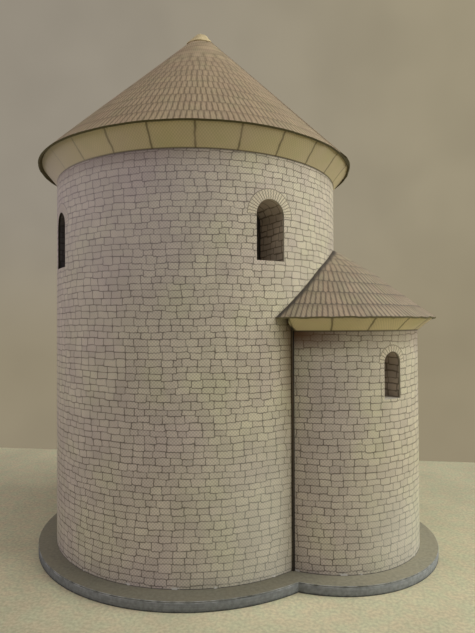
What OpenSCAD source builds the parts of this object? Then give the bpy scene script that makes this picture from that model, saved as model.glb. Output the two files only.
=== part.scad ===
// Card model of a small round church: a drum-shaped nave with a conical roof and a lower
// round apse, each rolled from one printed sheet, on a two-lobed grey board base.
// Millimetres. The origin is on the nave's axis, on the underside of the base.
// +Z is up and +X points along the apse.

/* [Base] */
// Thickness of the grey board under the model
board_t = 1.3; // [0.8:0.1:3]
// Thickness of the printed sheet on top of the board
cover_t = 0.2; // [0.1:0.05:0.4]
// How far the base reaches past the walls
base_margin = 2.8; // [1.5:0.1:6]

/* [Card] */
// Thickness of the card that the walls, roofs and linings are cut from
card_t = 0.3; // [0.15:0.05:0.5]
// Width of the hairline where the nave sheet's two ends meet
butt_gap = 0.1; // [0.05:0.05:0.2]
// Gap between the apse sheet's cut ends and the nave wall, filled by the dark folded tabs
joint_gap = 0.2; // [0.1:0.05:0.4]
// How far each folded tab shows beside the apse sheet's end
tab_lip = 0.3; // [0:0.05:0.6]
// Width of each leg of a folded tab and of the strip behind the butt joint
tab_w = 3; // [2:0.5:5]

/* [Nave] */
// Outside diameter of the nave
nave_d = 49.7; // [40:0.1:70]
// Height of the nave's wall
nave_wall_h = 60.3; // [48:0.1:80]
// How far the cornice leans out from the wall
nave_cornice_out = 2.5; // [1.5:0.1:5]
// Height of the leaning cornice
nave_cornice_rise = 2.85; // [1.5:0.05:4]
// Rise of the roof from the cornice to its point
nave_roof_h = 27.1; // [20:0.1:40]
// Radius of the cream tip that closes the roof
tip_r = 1.75; // [1:0.05:3]
// Width of the lap where the roof sheet overlaps itself
lap_w = 3.2; // [2:0.1:5]
// Compass bearing of the lap, from the apse's direction
lap_bearing = -10; // [-30:1:30]

/* [Nave windows] */
// Width of a nave window
nave_window_w = 4.7; // [3:0.1:7]
// Height of a nave window, from its sill to the top of its arch
nave_window_h = 8.9; // [6:0.1:12]
// Distance from the wall's top down to the top of the arch
nave_window_drop = 6.3; // [3:0.1:10]
// Depth of a nave window's lining, from the wall's face
nave_window_depth = 6.7; // [3:0.1:8]
// Bearing of the windows to each side of the apse's direction and of the opposite one
nave_window_bearing = 46.5; // [30:0.5:60]

/* [Apse] */
// Outside diameter of the apse
apse_d = 31.2; // [24:0.2:40]
// How far the apse's centre lies inside the nave wall's face
apse_setback = 1.85; // [0:0.05:4]
// Height of the apse's wall
apse_wall_h = 35; // [28:0.1:42]
// How far the apse cornice leans out from the wall
apse_cornice_out = 2.55; // [1.5:0.05:4.5]
// Height of the leaning apse cornice
apse_cornice_rise = 1.9; // [1:0.05:3]
// Rise of the apse roof's full cone, whose point is hidden inside the nave wall
apse_roof_h = 12.6; // [9:0.1:18]
// How far the middle of the apse roof's slope stands above a straight line
apse_roof_swell = 0.7; // [0:0.1:1.2]

/* [Apse windows] */
// Width of an apse window
apse_window_w = 3.35; // [2:0.05:5]
// Height of an apse window, from its sill to the top of its arch
apse_window_h = 7; // [5:0.05:10]
// Distance from the apse wall's top down to the top of the arch
apse_window_drop = 3.1; // [2:0.1:8]
// Depth of an apse window's lining, from the wall's face
apse_window_depth = 4.6; // [2.5:0.1:6]
// Bearing of the two apse windows to each side of the apse's direction
apse_window_bearing = 45; // [30:1:55]

/* [Finish] */
// How far the nave's roof sheet reaches past the cornice under it, along the slope
nave_lip = 0.6; // [0.05:0.05:1.2]
// The same for the apse's roof sheet
apse_lip = 0.3; // [0.05:0.05:1.2]
// How far a window's dark back reaches past its lining
back_margin = 0.6; // [0.2:0.1:1]

/* [Hidden] */
$fn = 96;

through = 1;                                  // how far a cutting shape runs past what it cuts
nave_r = nave_d / 2;
apse_r = apse_d / 2;
apse_x = nave_r - apse_setback;               // the apse's centre
base_top = board_t + cover_t;
nave_top = base_top + nave_wall_h;
apse_top = base_top + apse_wall_h;
nave_window_sill = nave_top - nave_window_drop - nave_window_h;
apse_window_sill = apse_top - apse_window_drop - apse_window_h;

// Where each roof's underside meets the outer edge of its cornice, as [radius, height].
nave_eave = [nave_r + nave_cornice_out, nave_top + nave_cornice_rise];
apse_eave = [apse_r + apse_cornice_out, apse_top + apse_cornice_rise];
nave_pitch = atan2(nave_roof_h, nave_eave[0]);
apse_mid_r = apse_eave[0] / 2;                // where the apse roof's slope eases off
apse_pitch = atan2(apse_roof_h / 2 + apse_roof_swell, apse_mid_r);
apse_upper_pitch = atan2(apse_roof_h / 2 - apse_roof_swell, apse_mid_r);

// Bearing about the apse's centre at which a ring of radius r comes within gap of the nave wall.
function apse_end(r, gap) =
    acos((pow(nave_r + gap, 2) - pow(apse_x, 2) - r * r) / (2 * apse_x * r));

// Bearing about the nave's axis of the point at that place on the ring.
function nave_bearing(r, gap) =
    let (a = apse_end(r, gap)) atan2(r * sin(a), apse_x + r * cos(a));

apse_half_turn = apse_end(apse_r - card_t, joint_gap);     // the apse sheet runs this far each way
apse_corner_bearing = nave_bearing(apse_r, joint_gap);

// The angle that an arc of length w fills at radius r.
function arc_angle(w, r) = w / r * 180 / PI;

// Unit vectors down a roof's slope and out of its face, for a pitch in degrees.
function down_slope(pitch) = [cos(pitch), -sin(pitch)];
function out_of_slope(pitch) = [sin(pitch), cos(pitch)];

// Colours of the printed sheets and of the board.
board_colour = [0.36, 0.37, 0.40];
cover_colour = [0.46, 0.46, 0.38];
masonry_colour = [0.66, 0.62, 0.54];
cornice_colour = [0.76, 0.71, 0.52];
shingle_colour = [0.52, 0.44, 0.34];
tip_colour = [0.88, 0.80, 0.58];
reveal_colour = [0.42, 0.38, 0.33];
sill_colour = [0.78, 0.76, 0.68];
ink_colour = [0.10, 0.10, 0.10];
back_colour = [0.13, 0.13, 0.14];

// A solid of revolution over bearings from -half to +half about the local axis.
module turned(half = 180) {
    if (half >= 180)
        rotate_extrude() children();
    else
        rotate([0, 0, -half]) rotate_extrude(angle = 2 * half) children();
}

// The upright rectangle that turns into a wall sheet.
module wall_profile(r, low, high) {
    translate([r - card_t, low]) square([card_t, high - low]);
}

// The leaning strip from the wall's top outer corner to the roof's underside at the eave. Both
// of its ends are trimmed: level where it stands on the wall, and along the roof's underside.
module cornice_profile(wall_r, wall_top, eave, pitch) {
    lean = atan2(eave[1] - wall_top, eave[0] - wall_r);
    foot = card_t / sin(lean);                // width of the level cut at the foot
    head = card_t / sin(lean + pitch);        // width of the cut along the roof's underside
    polygon([
        [wall_r, wall_top],
        eave,
        eave - head * down_slope(pitch),
        [wall_r - foot, wall_top],
    ]);
}

// A roof sheet from below the eave up to radius top_r, cut square at its lower edge.
module roof_profile(eave, pitch, lip, top_r = 0, lift = 0) {
    lower_in = eave + lip * down_slope(pitch) + lift * out_of_slope(pitch);
    lower_out = lower_in + card_t * out_of_slope(pitch);
    upper_out = lower_out - (lower_out[0] - top_r) / cos(pitch) * down_slope(pitch);
    upper_in = top_r > 0
        ? upper_out - card_t * out_of_slope(pitch)
        : upper_out - [0, card_t / cos(pitch)];
    polygon([lower_in, lower_out, upper_out, upper_in]);
}

// The apse's roof sheet, which is a little steeper below the middle of its slope than above it.
module swelled_roof_profile(eave, lip) {
    lower_in = eave + lip * down_slope(apse_pitch);
    lower_out = lower_in + card_t * out_of_slope(apse_pitch);
    mid_out = lower_out - (lower_out[0] - apse_mid_r) / cos(apse_pitch) * down_slope(apse_pitch);
    top_out = mid_out + apse_mid_r * [-1, tan(apse_upper_pitch)];
    half_bend = (apse_pitch - apse_upper_pitch) / 2;
    mid_in = mid_out - card_t / cos(half_bend) * out_of_slope(apse_pitch - half_bend);
    polygon([
        lower_in, lower_out, mid_out, top_out,
        top_out - [0, card_t / cos(apse_upper_pitch)], mid_in,
    ]);
}

// Height of a roof's outer face at radius r.
function roof_height(eave, pitch, r) =
    eave[1] + card_t / cos(pitch) + (eave[0] - r) * tan(pitch);

// A round-headed opening w wide and h high, standing on the origin.
module arch(w, h) {
    translate([-w / 2, 0]) square([w, h - w / 2]);
    translate([0, h - w / 2]) circle(d = w);
}

// Stands a flat outline on its sill height and pushes it outwards along a bearing.
module facing(bearing, sill, from, to) {
    rotate([0, 0, bearing]) translate([from, 0, sill])
        rotate([90, 0, 90]) linear_extrude(to - from) children();
}

// The cut through a wall for one window.
module window_cut(bearing, sill, w, h, r, depth) {
    facing(bearing, sill, r - depth, r + through) arch(w, h);
}

// The strip folded over the arch and down both jambs, against the back of the wall.
module lining(bearing, sill, w, h, r, depth) {
    color(reveal_colour) intersection() {
        facing(bearing, sill, r - depth, r) difference() {
            arch(w + 2 * card_t, h + card_t);
            translate([0, -through]) arch(w, h + through);
        }
        cylinder(r = r - card_t, h = sill + h + card_t + through);
    }
}

// The flat strip under the opening, which the jambs stand on.
module sill_strip(bearing, sill, w, r, depth) {
    color(sill_colour) intersection() {
        facing(bearing, sill - card_t, r - depth, r)
            translate([-w / 2 - card_t, 0]) square([w + 2 * card_t, card_t]);
        cylinder(r = r - card_t, h = sill + through);
    }
}

// The dark sheet that closes the lining's inner end.
module window_back(bearing, sill, w, h, r, depth) {
    rim = card_t + back_margin;
    color(back_colour) facing(bearing, sill - rim, r - depth - card_t, r - depth)
        arch(w + 2 * rim, h + 2 * rim);
}

module nave_lining(bearing) {
    lining(bearing, nave_window_sill, nave_window_w, nave_window_h, nave_r, nave_window_depth);
}

module nave_sill(bearing) {
    sill_strip(bearing, nave_window_sill, nave_window_w, nave_r, nave_window_depth);
}

module nave_back(bearing) {
    window_back(bearing, nave_window_sill, nave_window_w, nave_window_h, nave_r,
                nave_window_depth);
}

module apse_lining(bearing) {
    translate([apse_x, 0, 0])
        lining(bearing, apse_window_sill, apse_window_w, apse_window_h, apse_r,
               apse_window_depth);
}

module apse_sill(bearing) {
    translate([apse_x, 0, 0])
        sill_strip(bearing, apse_window_sill, apse_window_w, apse_r, apse_window_depth);
}

module apse_back(bearing) {
    translate([apse_x, 0, 0])
        window_back(bearing, apse_window_sill, apse_window_w, apse_window_h, apse_r,
                    apse_window_depth);
}

// The outline of the base: one disc round each wall.
module base_outline() {
    circle(r = nave_r + base_margin);
    translate([apse_x, 0]) circle(r = apse_r + base_margin);
}

module base_board() {
    color(board_colour) linear_extrude(board_t) base_outline();
}

module base_cover() {
    color(cover_colour) translate([0, 0, board_t]) linear_extrude(cover_t) base_outline();
}

// One sheet rolled into a drum. Its ends meet behind the apse.
module nave_wall() {
    color(masonry_colour) difference() {
        turned() wall_profile(nave_r, base_top, nave_top);
        for (side = [-1, 1], turn = [0, 180])
            window_cut(turn + side * nave_window_bearing, nave_window_sill, nave_window_w,
                       nave_window_h, nave_r, card_t + through);
        translate([nave_r - card_t - through, -butt_gap / 2, base_top - through])
            cube([card_t + 2 * through, butt_gap, nave_wall_h + 2 * through]);
    }
}

// The strip glued behind the drum's butt joint. It stops under the cornice's foot.
module nave_joint_strip() {
    color(sill_colour) turned(arc_angle(tab_w, nave_r))
        wall_profile(nave_r - card_t, base_top, nave_top);
}

module nave_cornice() {
    color(cornice_colour) turned() cornice_profile(nave_r, nave_top, nave_eave, nave_pitch);
}

// The roof sheet, with the lap where it overlaps itself.
module nave_roof() {
    lap_half = arc_angle(lap_w, nave_eave[0]) / 2;
    color(shingle_colour) {
        turned() roof_profile(nave_eave, nave_pitch, nave_lip, tip_r);
        rotate([0, 0, lap_bearing + lap_half]) turned(lap_half)
            roof_profile(nave_eave, nave_pitch, nave_lip + card_t, tip_r, card_t);
    }
}

// The small cream tip: a rounded cone on the roof sheet's upper edge, with a plug inside it.
module nave_roof_tip() {
    seat_z = roof_height(nave_eave, nave_pitch, tip_r);
    wall_in = card_t * sin(nave_pitch);       // how far in the sheet's square upper edge reaches
    wall_down = card_t * cos(nave_pitch);
    point_r = tip_r / 3;                      // where the cone's flank gives way to its round top
    point_z = seat_z + (tip_r - point_r) * tan(nave_pitch);
    round_r = point_r / sin(nave_pitch);
    color(tip_colour) rotate_extrude() polygon(concat(
        [[0, seat_z - wall_down], [tip_r - wall_in, seat_z - wall_down], [tip_r, seat_z]],
        [for (a = [nave_pitch : -nave_pitch / 4 : 0])
            [round_r * sin(a), point_z + round_r * (cos(a) - cos(nave_pitch))]]
    ));
}

// One sheet rolled round the apse, cut square at both ends.
module apse_wall() {
    color(masonry_colour) translate([apse_x, 0, 0]) difference() {
        turned(apse_half_turn) wall_profile(apse_r, base_top, apse_top);
        for (side = [-1, 1])
            window_cut(side * apse_window_bearing, apse_window_sill, apse_window_w,
                       apse_window_h, apse_r, card_t + through);
    }
}

// A folded tab: one leg against the nave wall, the other against the apse sheet's inner face.
// side is -1 for the south joint and 1 for the north one.
module apse_joint_tab(side) {
    nave_leg = arc_angle(tab_w, nave_r);
    apse_leg = arc_angle(tab_w, apse_r);
    lip = arc_angle(tab_lip, nave_r);
    color(ink_colour) union() {
        rotate([0, 0, side * (apse_corner_bearing + lip - nave_leg / 2)])
            turned(nave_leg / 2) translate([nave_r, base_top])
                square([joint_gap, apse_wall_h]);
        intersection() {
            translate([apse_x, 0, 0])
                rotate([0, 0, side * (apse_half_turn - apse_leg / 2 + lip)])
                    turned(apse_leg / 2 + lip)
                        translate([apse_r - card_t - joint_gap, base_top])
                            square([joint_gap, apse_wall_h]);
            difference() {
                cylinder(r = 2 * nave_d, h = apse_top + through);
                translate([0, 0, -through])
                    cylinder(r = nave_r + joint_gap / 2, h = apse_top + 3 * through);
            }
        }
    }
}

module apse_cornice() {
    color(cornice_colour) translate([apse_x, 0, 0]) turned(apse_half_turn)
        cornice_profile(apse_r, apse_top, apse_eave, apse_pitch);
}

// The apse roof: a cone sheet trimmed to lie against the nave wall.
module apse_roof() {
    color(shingle_colour) difference() {
        translate([apse_x, 0, 0]) turned() swelled_roof_profile(apse_eave, apse_lip);
        cylinder(r = nave_r, h = apse_eave[1] + 2 * apse_roof_h);
    }
}

base_board();
base_cover();
nave_wall();
nave_joint_strip();
nave_cornice();
nave_roof();
nave_roof_tip();

southeast = -nave_window_bearing;
southwest = nave_window_bearing - 180;
northwest = 180 - nave_window_bearing;
northeast = nave_window_bearing;
nave_lining(southeast);  // nave_window_lining_southeast
nave_sill(southeast);  // nave_window_sill_southeast
nave_back(southeast);  // nave_window_back_southeast
nave_lining(southwest);  // nave_window_lining_southwest
nave_sill(southwest);  // nave_window_sill_southwest
nave_back(southwest);  // nave_window_back_southwest
nave_lining(northwest);  // nave_window_lining_northwest
nave_sill(northwest);  // nave_window_sill_northwest
nave_back(northwest);  // nave_window_back_northwest
nave_lining(northeast);  // nave_window_lining_northeast
nave_sill(northeast);  // nave_window_sill_northeast
nave_back(northeast);  // nave_window_back_northeast

apse_wall();
apse_joint_tab(-1);  // apse_joint_tab_south
apse_joint_tab(1);  // apse_joint_tab_north
apse_cornice();
apse_roof();

apse_lining(-apse_window_bearing);  // apse_window_lining_south
apse_sill(-apse_window_bearing);  // apse_window_sill_south
apse_back(-apse_window_bearing);  // apse_window_back_south
apse_lining(apse_window_bearing);  // apse_window_lining_north
apse_sill(apse_window_bearing);  // apse_window_sill_north
apse_back(apse_window_bearing);  // apse_window_back_north
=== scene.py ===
"""Looks of the card rotunda: rolled and folded sheets, each with its printed and inked faces.

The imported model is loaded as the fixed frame. The sheets that show are modelled again with the
small faults of cut and rolled card, and every surface gets its own node-built finish.
"""

import logging
import math
from dataclasses import dataclass, field
from enum import Enum
from functools import reduce
from typing import Callable, ClassVar

import bpy
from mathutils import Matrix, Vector, noise


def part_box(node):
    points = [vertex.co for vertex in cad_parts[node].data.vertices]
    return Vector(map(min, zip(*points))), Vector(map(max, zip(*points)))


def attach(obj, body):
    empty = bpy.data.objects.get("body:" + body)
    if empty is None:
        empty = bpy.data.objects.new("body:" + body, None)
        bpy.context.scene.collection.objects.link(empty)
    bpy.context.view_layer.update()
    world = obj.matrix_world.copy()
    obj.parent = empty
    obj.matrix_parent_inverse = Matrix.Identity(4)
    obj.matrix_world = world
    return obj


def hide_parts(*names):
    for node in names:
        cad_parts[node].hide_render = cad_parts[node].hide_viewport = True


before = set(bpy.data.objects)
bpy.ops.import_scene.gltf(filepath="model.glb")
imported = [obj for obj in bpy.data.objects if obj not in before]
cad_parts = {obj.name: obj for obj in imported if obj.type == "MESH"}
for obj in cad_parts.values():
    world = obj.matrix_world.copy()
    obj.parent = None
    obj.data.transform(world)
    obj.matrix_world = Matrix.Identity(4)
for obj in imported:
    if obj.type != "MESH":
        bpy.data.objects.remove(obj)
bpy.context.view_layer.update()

log = logging.getLogger("rotunda")

MM = 0.001
TO_MM = 1000.0
FULL_TURN = 2 * math.pi
ROOT = "root"
BAKE_MAP = "OFBake"

Triple = tuple[float, float, float]
Colour = Triple


def ink(red: float, green: float, blue: float) -> tuple[float, float, float, float]:
    """Turns display values from 0 to 255 into a scene-linear colour with full alpha.

    Args:
        red: Red as a display value.
        green: Green as a display value.
        blue: Blue as a display value.

    Returns:
        The colour as Blender's sockets take it.
    """
    def linear(value: float) -> float:
        """Undoes the display curve for one channel."""
        share = value / 255
        return share / 12.92 if share <= 0.04045 else ((share + 0.055) / 1.055) ** 2.4
    return (linear(red), linear(green), linear(blue), 1.0)


def reach(node: str, axis: int, top: bool = True) -> float:
    """Gives one limit of a CAD node's box in millimetres.

    Args:
        node: Name of the CAD node.
        axis: 0, 1 or 2 for X, Y or Z.
        top: True for the highest corner, False for the lowest.

    Returns:
        The coordinate in millimetres.
    """
    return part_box(node)[1 if top else 0][axis] * TO_MM


def smooth(value: float) -> float:
    """Eases a share from 0 to 1, held at both ends."""
    share = min(max(value, 0.0), 1.0)
    return share * share * (3 - 2 * share)


class Bake(Enum):
    """How a piece's outer face is laid flat for its texture map."""

    DRUM = "drum"
    CONE = "cone"


@dataclass(frozen=True)
class Round:
    """One round body of the model: the sizes of its wall, cornice and roof, in millimetres."""

    name: str
    centre: float
    radius: float
    foot: float
    wall_top: float
    eave_radius: float
    eave_height: float
    roof_reach: float
    roof_low: float
    roof_rise: float
    roof_swell: float
    window_width: float
    window_sill: float
    window_crown: float
    window_bearings: tuple[float, ...]

    @property
    def window_half(self) -> float:
        """Half the width of a window's opening."""
        return self.window_width / 2

    @property
    def roof_pitch(self) -> float:
        """Pitch of the roof's lower half, in radians."""
        return math.atan2(self.roof_rise / 2 + self.roof_swell, self.eave_radius / 2)

    @property
    def upper_pitch(self) -> float:
        """Pitch of the roof's upper half, in radians."""
        return math.atan2(self.roof_rise / 2 - self.roof_swell, self.eave_radius / 2)

    @property
    def spring(self) -> float:
        """Height at which a window's arch begins."""
        return self.window_crown - self.window_half


CARD = 0.3
NAVE = Round(
    name="nave",
    centre=0.0,
    radius=reach("nave_wall", 1),
    foot=reach("nave_wall", 2, top=False),
    wall_top=reach("nave_wall", 2),
    eave_radius=reach("nave_cornice", 1),
    eave_height=reach("nave_cornice", 2),
    roof_reach=-reach("nave_roof", 0, top=False),
    roof_low=reach("nave_roof", 2, top=False),
    roof_rise=27.1,
    roof_swell=0.0,
    window_width=4.7,
    window_sill=reach("nave_window_sill_southeast", 2),
    window_crown=reach("nave_window_lining_southeast", 2) - CARD,
    window_bearings=(-46.5, -133.5, 133.5, 46.5),
)
APSE = Round(
    name="apse",
    centre=reach("apse_wall", 0) - reach("apse_wall", 1),
    radius=reach("apse_wall", 1),
    foot=reach("apse_wall", 2, top=False),
    wall_top=reach("apse_wall", 2),
    eave_radius=reach("apse_cornice", 1),
    eave_height=reach("apse_cornice", 2),
    roof_reach=reach("apse_roof", 1),
    roof_low=reach("apse_roof", 2, top=False),
    roof_rise=12.6,
    roof_swell=0.7,
    window_width=3.35,
    window_sill=reach("apse_window_sill_south", 2),
    window_crown=reach("apse_window_lining_south", 2) - CARD,
    window_bearings=(-45.0, 45.0),
)


# ---------------------------------------------------------------- modelling by operators


class Bench:
    """The modelling moves that every sheet is made with."""

    @staticmethod
    def clear() -> None:
        """Deselects every object."""
        if bpy.context.object and bpy.context.object.mode != "OBJECT":
            bpy.ops.object.mode_set(mode="OBJECT")
        bpy.ops.object.select_all(action="DESELECT")

    @staticmethod
    def pick(piece: bpy.types.Object) -> None:
        """Makes one object the only selected and the active one.

        Args:
            piece: The object.
        """
        Bench.clear()
        piece.select_set(True)
        bpy.context.view_layer.objects.active = piece

    @staticmethod
    def select(piece: bpy.types.Object, kind: str, wanted: Callable[[object], bool]) -> None:
        """Selects some vertices, edges or faces of a piece and leaves it in edit mode.

        Args:
            piece: The object to work on.
            kind: "VERT", "EDGE" or "FACE".
            wanted: Says of one element whether it is selected.
        """
        Bench.pick(piece)
        bpy.ops.object.mode_set(mode="EDIT")
        bpy.ops.mesh.select_mode(type=kind)
        bpy.ops.mesh.select_all(action="DESELECT")
        bpy.ops.object.mode_set(mode="OBJECT")
        mesh = piece.data
        elements = {"VERT": mesh.vertices, "EDGE": mesh.edges, "FACE": mesh.polygons}[kind]
        for element in elements:
            element.select = wanted(element)
        bpy.ops.object.mode_set(mode="EDIT")

    @staticmethod
    def done() -> None:
        """Goes back to object mode."""
        bpy.ops.object.mode_set(mode="OBJECT")

    @staticmethod
    def settle(piece: bpy.types.Object, name: str) -> bpy.types.Object:
        """Names a piece and puts its place, turn and size into its mesh.

        Args:
            piece: The object.
            name: Its name from now on.

        Returns:
            The same object.
        """
        Bench.pick(piece)
        bpy.ops.object.transform_apply(location=True, rotation=True, scale=True)
        piece.name = name
        piece.data.name = name
        return piece

    @staticmethod
    def modify(piece: bpy.types.Object, kind: str, **settings: object) -> None:
        """Adds one modifier with its settings and applies it.

        Args:
            piece: The object.
            kind: Blender's name for the modifier's type.
            **settings: The modifier's own properties.
        """
        Bench.pick(piece)
        modifier = piece.modifiers.new(kind.title(), kind)
        for key, value in settings.items():
            setattr(modifier, key, value)
        bpy.ops.object.modifier_apply(modifier=modifier.name)

    @staticmethod
    def flared_tube(name: str, low: tuple[float, float], high: tuple[float, float],
                    centre: float, columns: int, rows: int) -> bpy.types.Object:
        """Makes an open tube or cone band of even quads.

        Args:
            name: Name of the new piece.
            low: Radius and height of the lower rim, in millimetres.
            high: Radius and height of the upper rim, in millimetres.
            centre: X of the axis, in millimetres.
            columns: Number of faces round the axis.
            rows: Number of faces up the side.

        Returns:
            The new object, with its place in its mesh.
        """
        Bench.clear()
        bpy.ops.mesh.primitive_cone_add(
            vertices=columns, radius1=low[0] * MM, radius2=high[0] * MM,
            depth=(high[1] - low[1]) * MM, end_fill_type="NOTHING",
            location=(centre * MM, 0, (low[1] + high[1]) / 2 * MM))
        piece = Bench.settle(bpy.context.object, name)
        rims = (low[1] * MM, high[1] * MM)
        points = piece.data.vertices

        def upright(edge: bpy.types.MeshEdge) -> bool:
            """True for an edge that joins the two rims."""
            heights = [points[v].co.z for v in edge.vertices]
            return abs(heights[0] - heights[1]) > abs(rims[1] - rims[0]) / 2

        if rows > 1:
            Bench.select(piece, "EDGE", upright)
            bpy.ops.mesh.subdivide(number_cuts=rows - 1)
            Bench.done()
        return piece

    @staticmethod
    def arch_cutter(half: float, sill: float, crown: float) -> bpy.types.Object:
        """Makes the solid that cuts one round-headed opening, standing out along +X.

        Args:
            half: Half the opening's width, in millimetres.
            sill: Height of the sill, in millimetres.
            crown: Height of the arch's top, in millimetres.

        Returns:
            The cutter, with its flat back at the axis's own plane.
        """
        spring = crown - half
        Bench.clear()
        bpy.ops.mesh.primitive_circle_add(vertices=64, radius=half * MM, fill_type="NOTHING",
                                          rotation=(math.pi / 2, 0, math.pi / 2),
                                          location=(0, 0, spring * MM))
        cutter = Bench.settle(bpy.context.object, "arch_cutter")
        level = spring * MM
        slack = half * MM * 0.01
        Bench.select(cutter, "VERT", lambda v: v.co.z < level - slack)
        bpy.ops.mesh.delete(type="VERT")
        Bench.done()
        Bench.select(cutter, "VERT", lambda v: v.co.z < level + slack)
        bpy.ops.mesh.extrude_region_move(
            TRANSFORM_OT_translate={"value": (0, 0, (sill - spring) * MM)})
        bpy.ops.mesh.select_all(action="SELECT")
        bpy.ops.mesh.edge_face_add()
        bpy.ops.mesh.extrude_region_move(
            TRANSFORM_OT_translate={"value": (2 * half * 3 * MM, 0, 0)})
        bpy.ops.mesh.select_all(action="SELECT")
        bpy.ops.mesh.normals_make_consistent(inside=False)
        Bench.done()
        return cutter

    @staticmethod
    def cut(piece: bpy.types.Object, cutter: bpy.types.Object,
            operation: str = "DIFFERENCE") -> None:
        """Cuts or joins a piece with another object, which is then removed."""
        Bench.modify(piece, "BOOLEAN", object=cutter, operation=operation, solver="EXACT")
        bpy.data.objects.remove(cutter)

    @staticmethod
    def shift(piece: bpy.types.Object, rule: Callable[[Vector], Vector]) -> None:
        """Moves every point of a piece, where no operator gives card's slow unevenness.

        Args:
            piece: The object.
            rule: Gives a point's new place from its old one, both in millimetres.
        """
        for vertex in piece.data.vertices:
            vertex.co = rule(vertex.co * TO_MM) * MM
        piece.data.update()

    @staticmethod
    def shade(piece: bpy.types.Object, angle: float = 30.0) -> None:
        """Smooths the shading across all edges flatter than an angle in degrees."""
        Bench.pick(piece)
        bpy.ops.object.shade_smooth_by_angle(angle=math.radians(angle))


def flutter(turn: float, seed: float, waves: float = 3.0) -> float:
    """A slow unevenness round a rim, from about -1 to 1, that closes on itself."""
    place = Vector((math.cos(turn) * waves, math.sin(turn) * waves, seed))
    return noise.noise(place, noise_basis="PERLIN_ORIGINAL") * 1.6


def turn_of(point: Vector, centre: float) -> float:
    """Bearing of a point about an upright axis at X = centre, in radians."""
    return math.atan2(point.y, point.x - centre)


def outward(point: Vector, centre: float) -> Vector:
    """Level direction from an upright axis at X = centre out to a point."""
    return Vector((point.x - centre, point.y, 0)).normalized()


REST_SHARE = 0.12
LANE_GAP = 1.0
FAN_MARGIN = 0.6
FAN_ROOM = 1.02
FAN_X, FAN_Y = 0.5, 0.44


def lay_flat(piece: bpy.types.Object, body: Round, way: Bake, strips: int) -> None:
    """Gives a piece the map that its finish is baked through: the face that shows, unrolled.

    Args:
        piece: The sheet.
        body: The round body it belongs to.
        way: Whether the sheet is a drum or a cone.
        strips: Number of strips that a drum's face is laid out in.
    """
    mesh = piece.data
    mesh.uv_layers.new(name=BAKE_MAP)
    pitch = body.roof_pitch if way is Bake.CONE else 0.0
    apex = body.roof_low + body.roof_reach * math.tan(pitch)

    def faces_out(face: bpy.types.MeshPolygon) -> bool:
        """Tells the printed side's faces from the others.

        Args:
            face: One face of the sheet.

        Returns:
            True for a face of the printed side.
        """
        flat = outward(face.center * TO_MM, body.centre)
        wanted = flat * math.sin(pitch) + Vector((0, 0, math.cos(pitch)))
        return face.normal.dot(flat if way is Bake.DRUM else wanted) > 0.8

    front = {face.index for face in mesh.polygons if faces_out(face)}
    Bench.select(piece, "FACE", lambda face: face.index not in front)
    bpy.ops.uv.smart_project(angle_limit=math.radians(66), island_margin=0.004)
    Bench.done()
    layer = mesh.uv_layers[BAKE_MAP].data
    strip = FULL_TURN * body.radius / strips
    lane_height = body.wall_top - body.foot + LANE_GAP
    room = max(strips * lane_height, strip + 2 * LANE_GAP)
    size = room / (1 - REST_SHARE) if room > strip else room
    fan = 2 * (body.roof_reach / math.cos(pitch) + FAN_MARGIN) * FAN_ROOM
    for face in mesh.polygons:
        middle = turn_of(face.center * TO_MM, body.centre) % FULL_TURN
        lane = min(int(middle / FULL_TURN * strips), strips - 1)
        for loop in face.loop_indices:
            if face.index not in front:
                u, v = layer[loop].uv
                layer[loop].uv = (u * REST_SHARE, 1 - REST_SHARE + v * REST_SHARE)
                continue
            point = mesh.vertices[mesh.loops[loop].vertex_index].co * TO_MM
            turn = turn_of(point, body.centre) % FULL_TURN
            if turn - middle > math.pi:
                turn -= FULL_TURN
            elif middle - turn > math.pi:
                turn += FULL_TURN
            if way is Bake.DRUM:
                along = turn * body.radius - lane * strip + LANE_GAP
                up = point.z - body.foot + lane * lane_height
                layer[loop].uv = (along / size, up / size)
            else:
                down = (apex - point.z) / math.sin(pitch)
                bend = (turn - math.pi) * math.cos(pitch)
                layer[loop].uv = (FAN_X + down * math.sin(bend) / fan,
                                  FAN_Y + down * math.cos(bend) / fan)


# ---------------------------------------------------------------- shader wiring

Socket = bpy.types.NodeSocket


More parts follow.
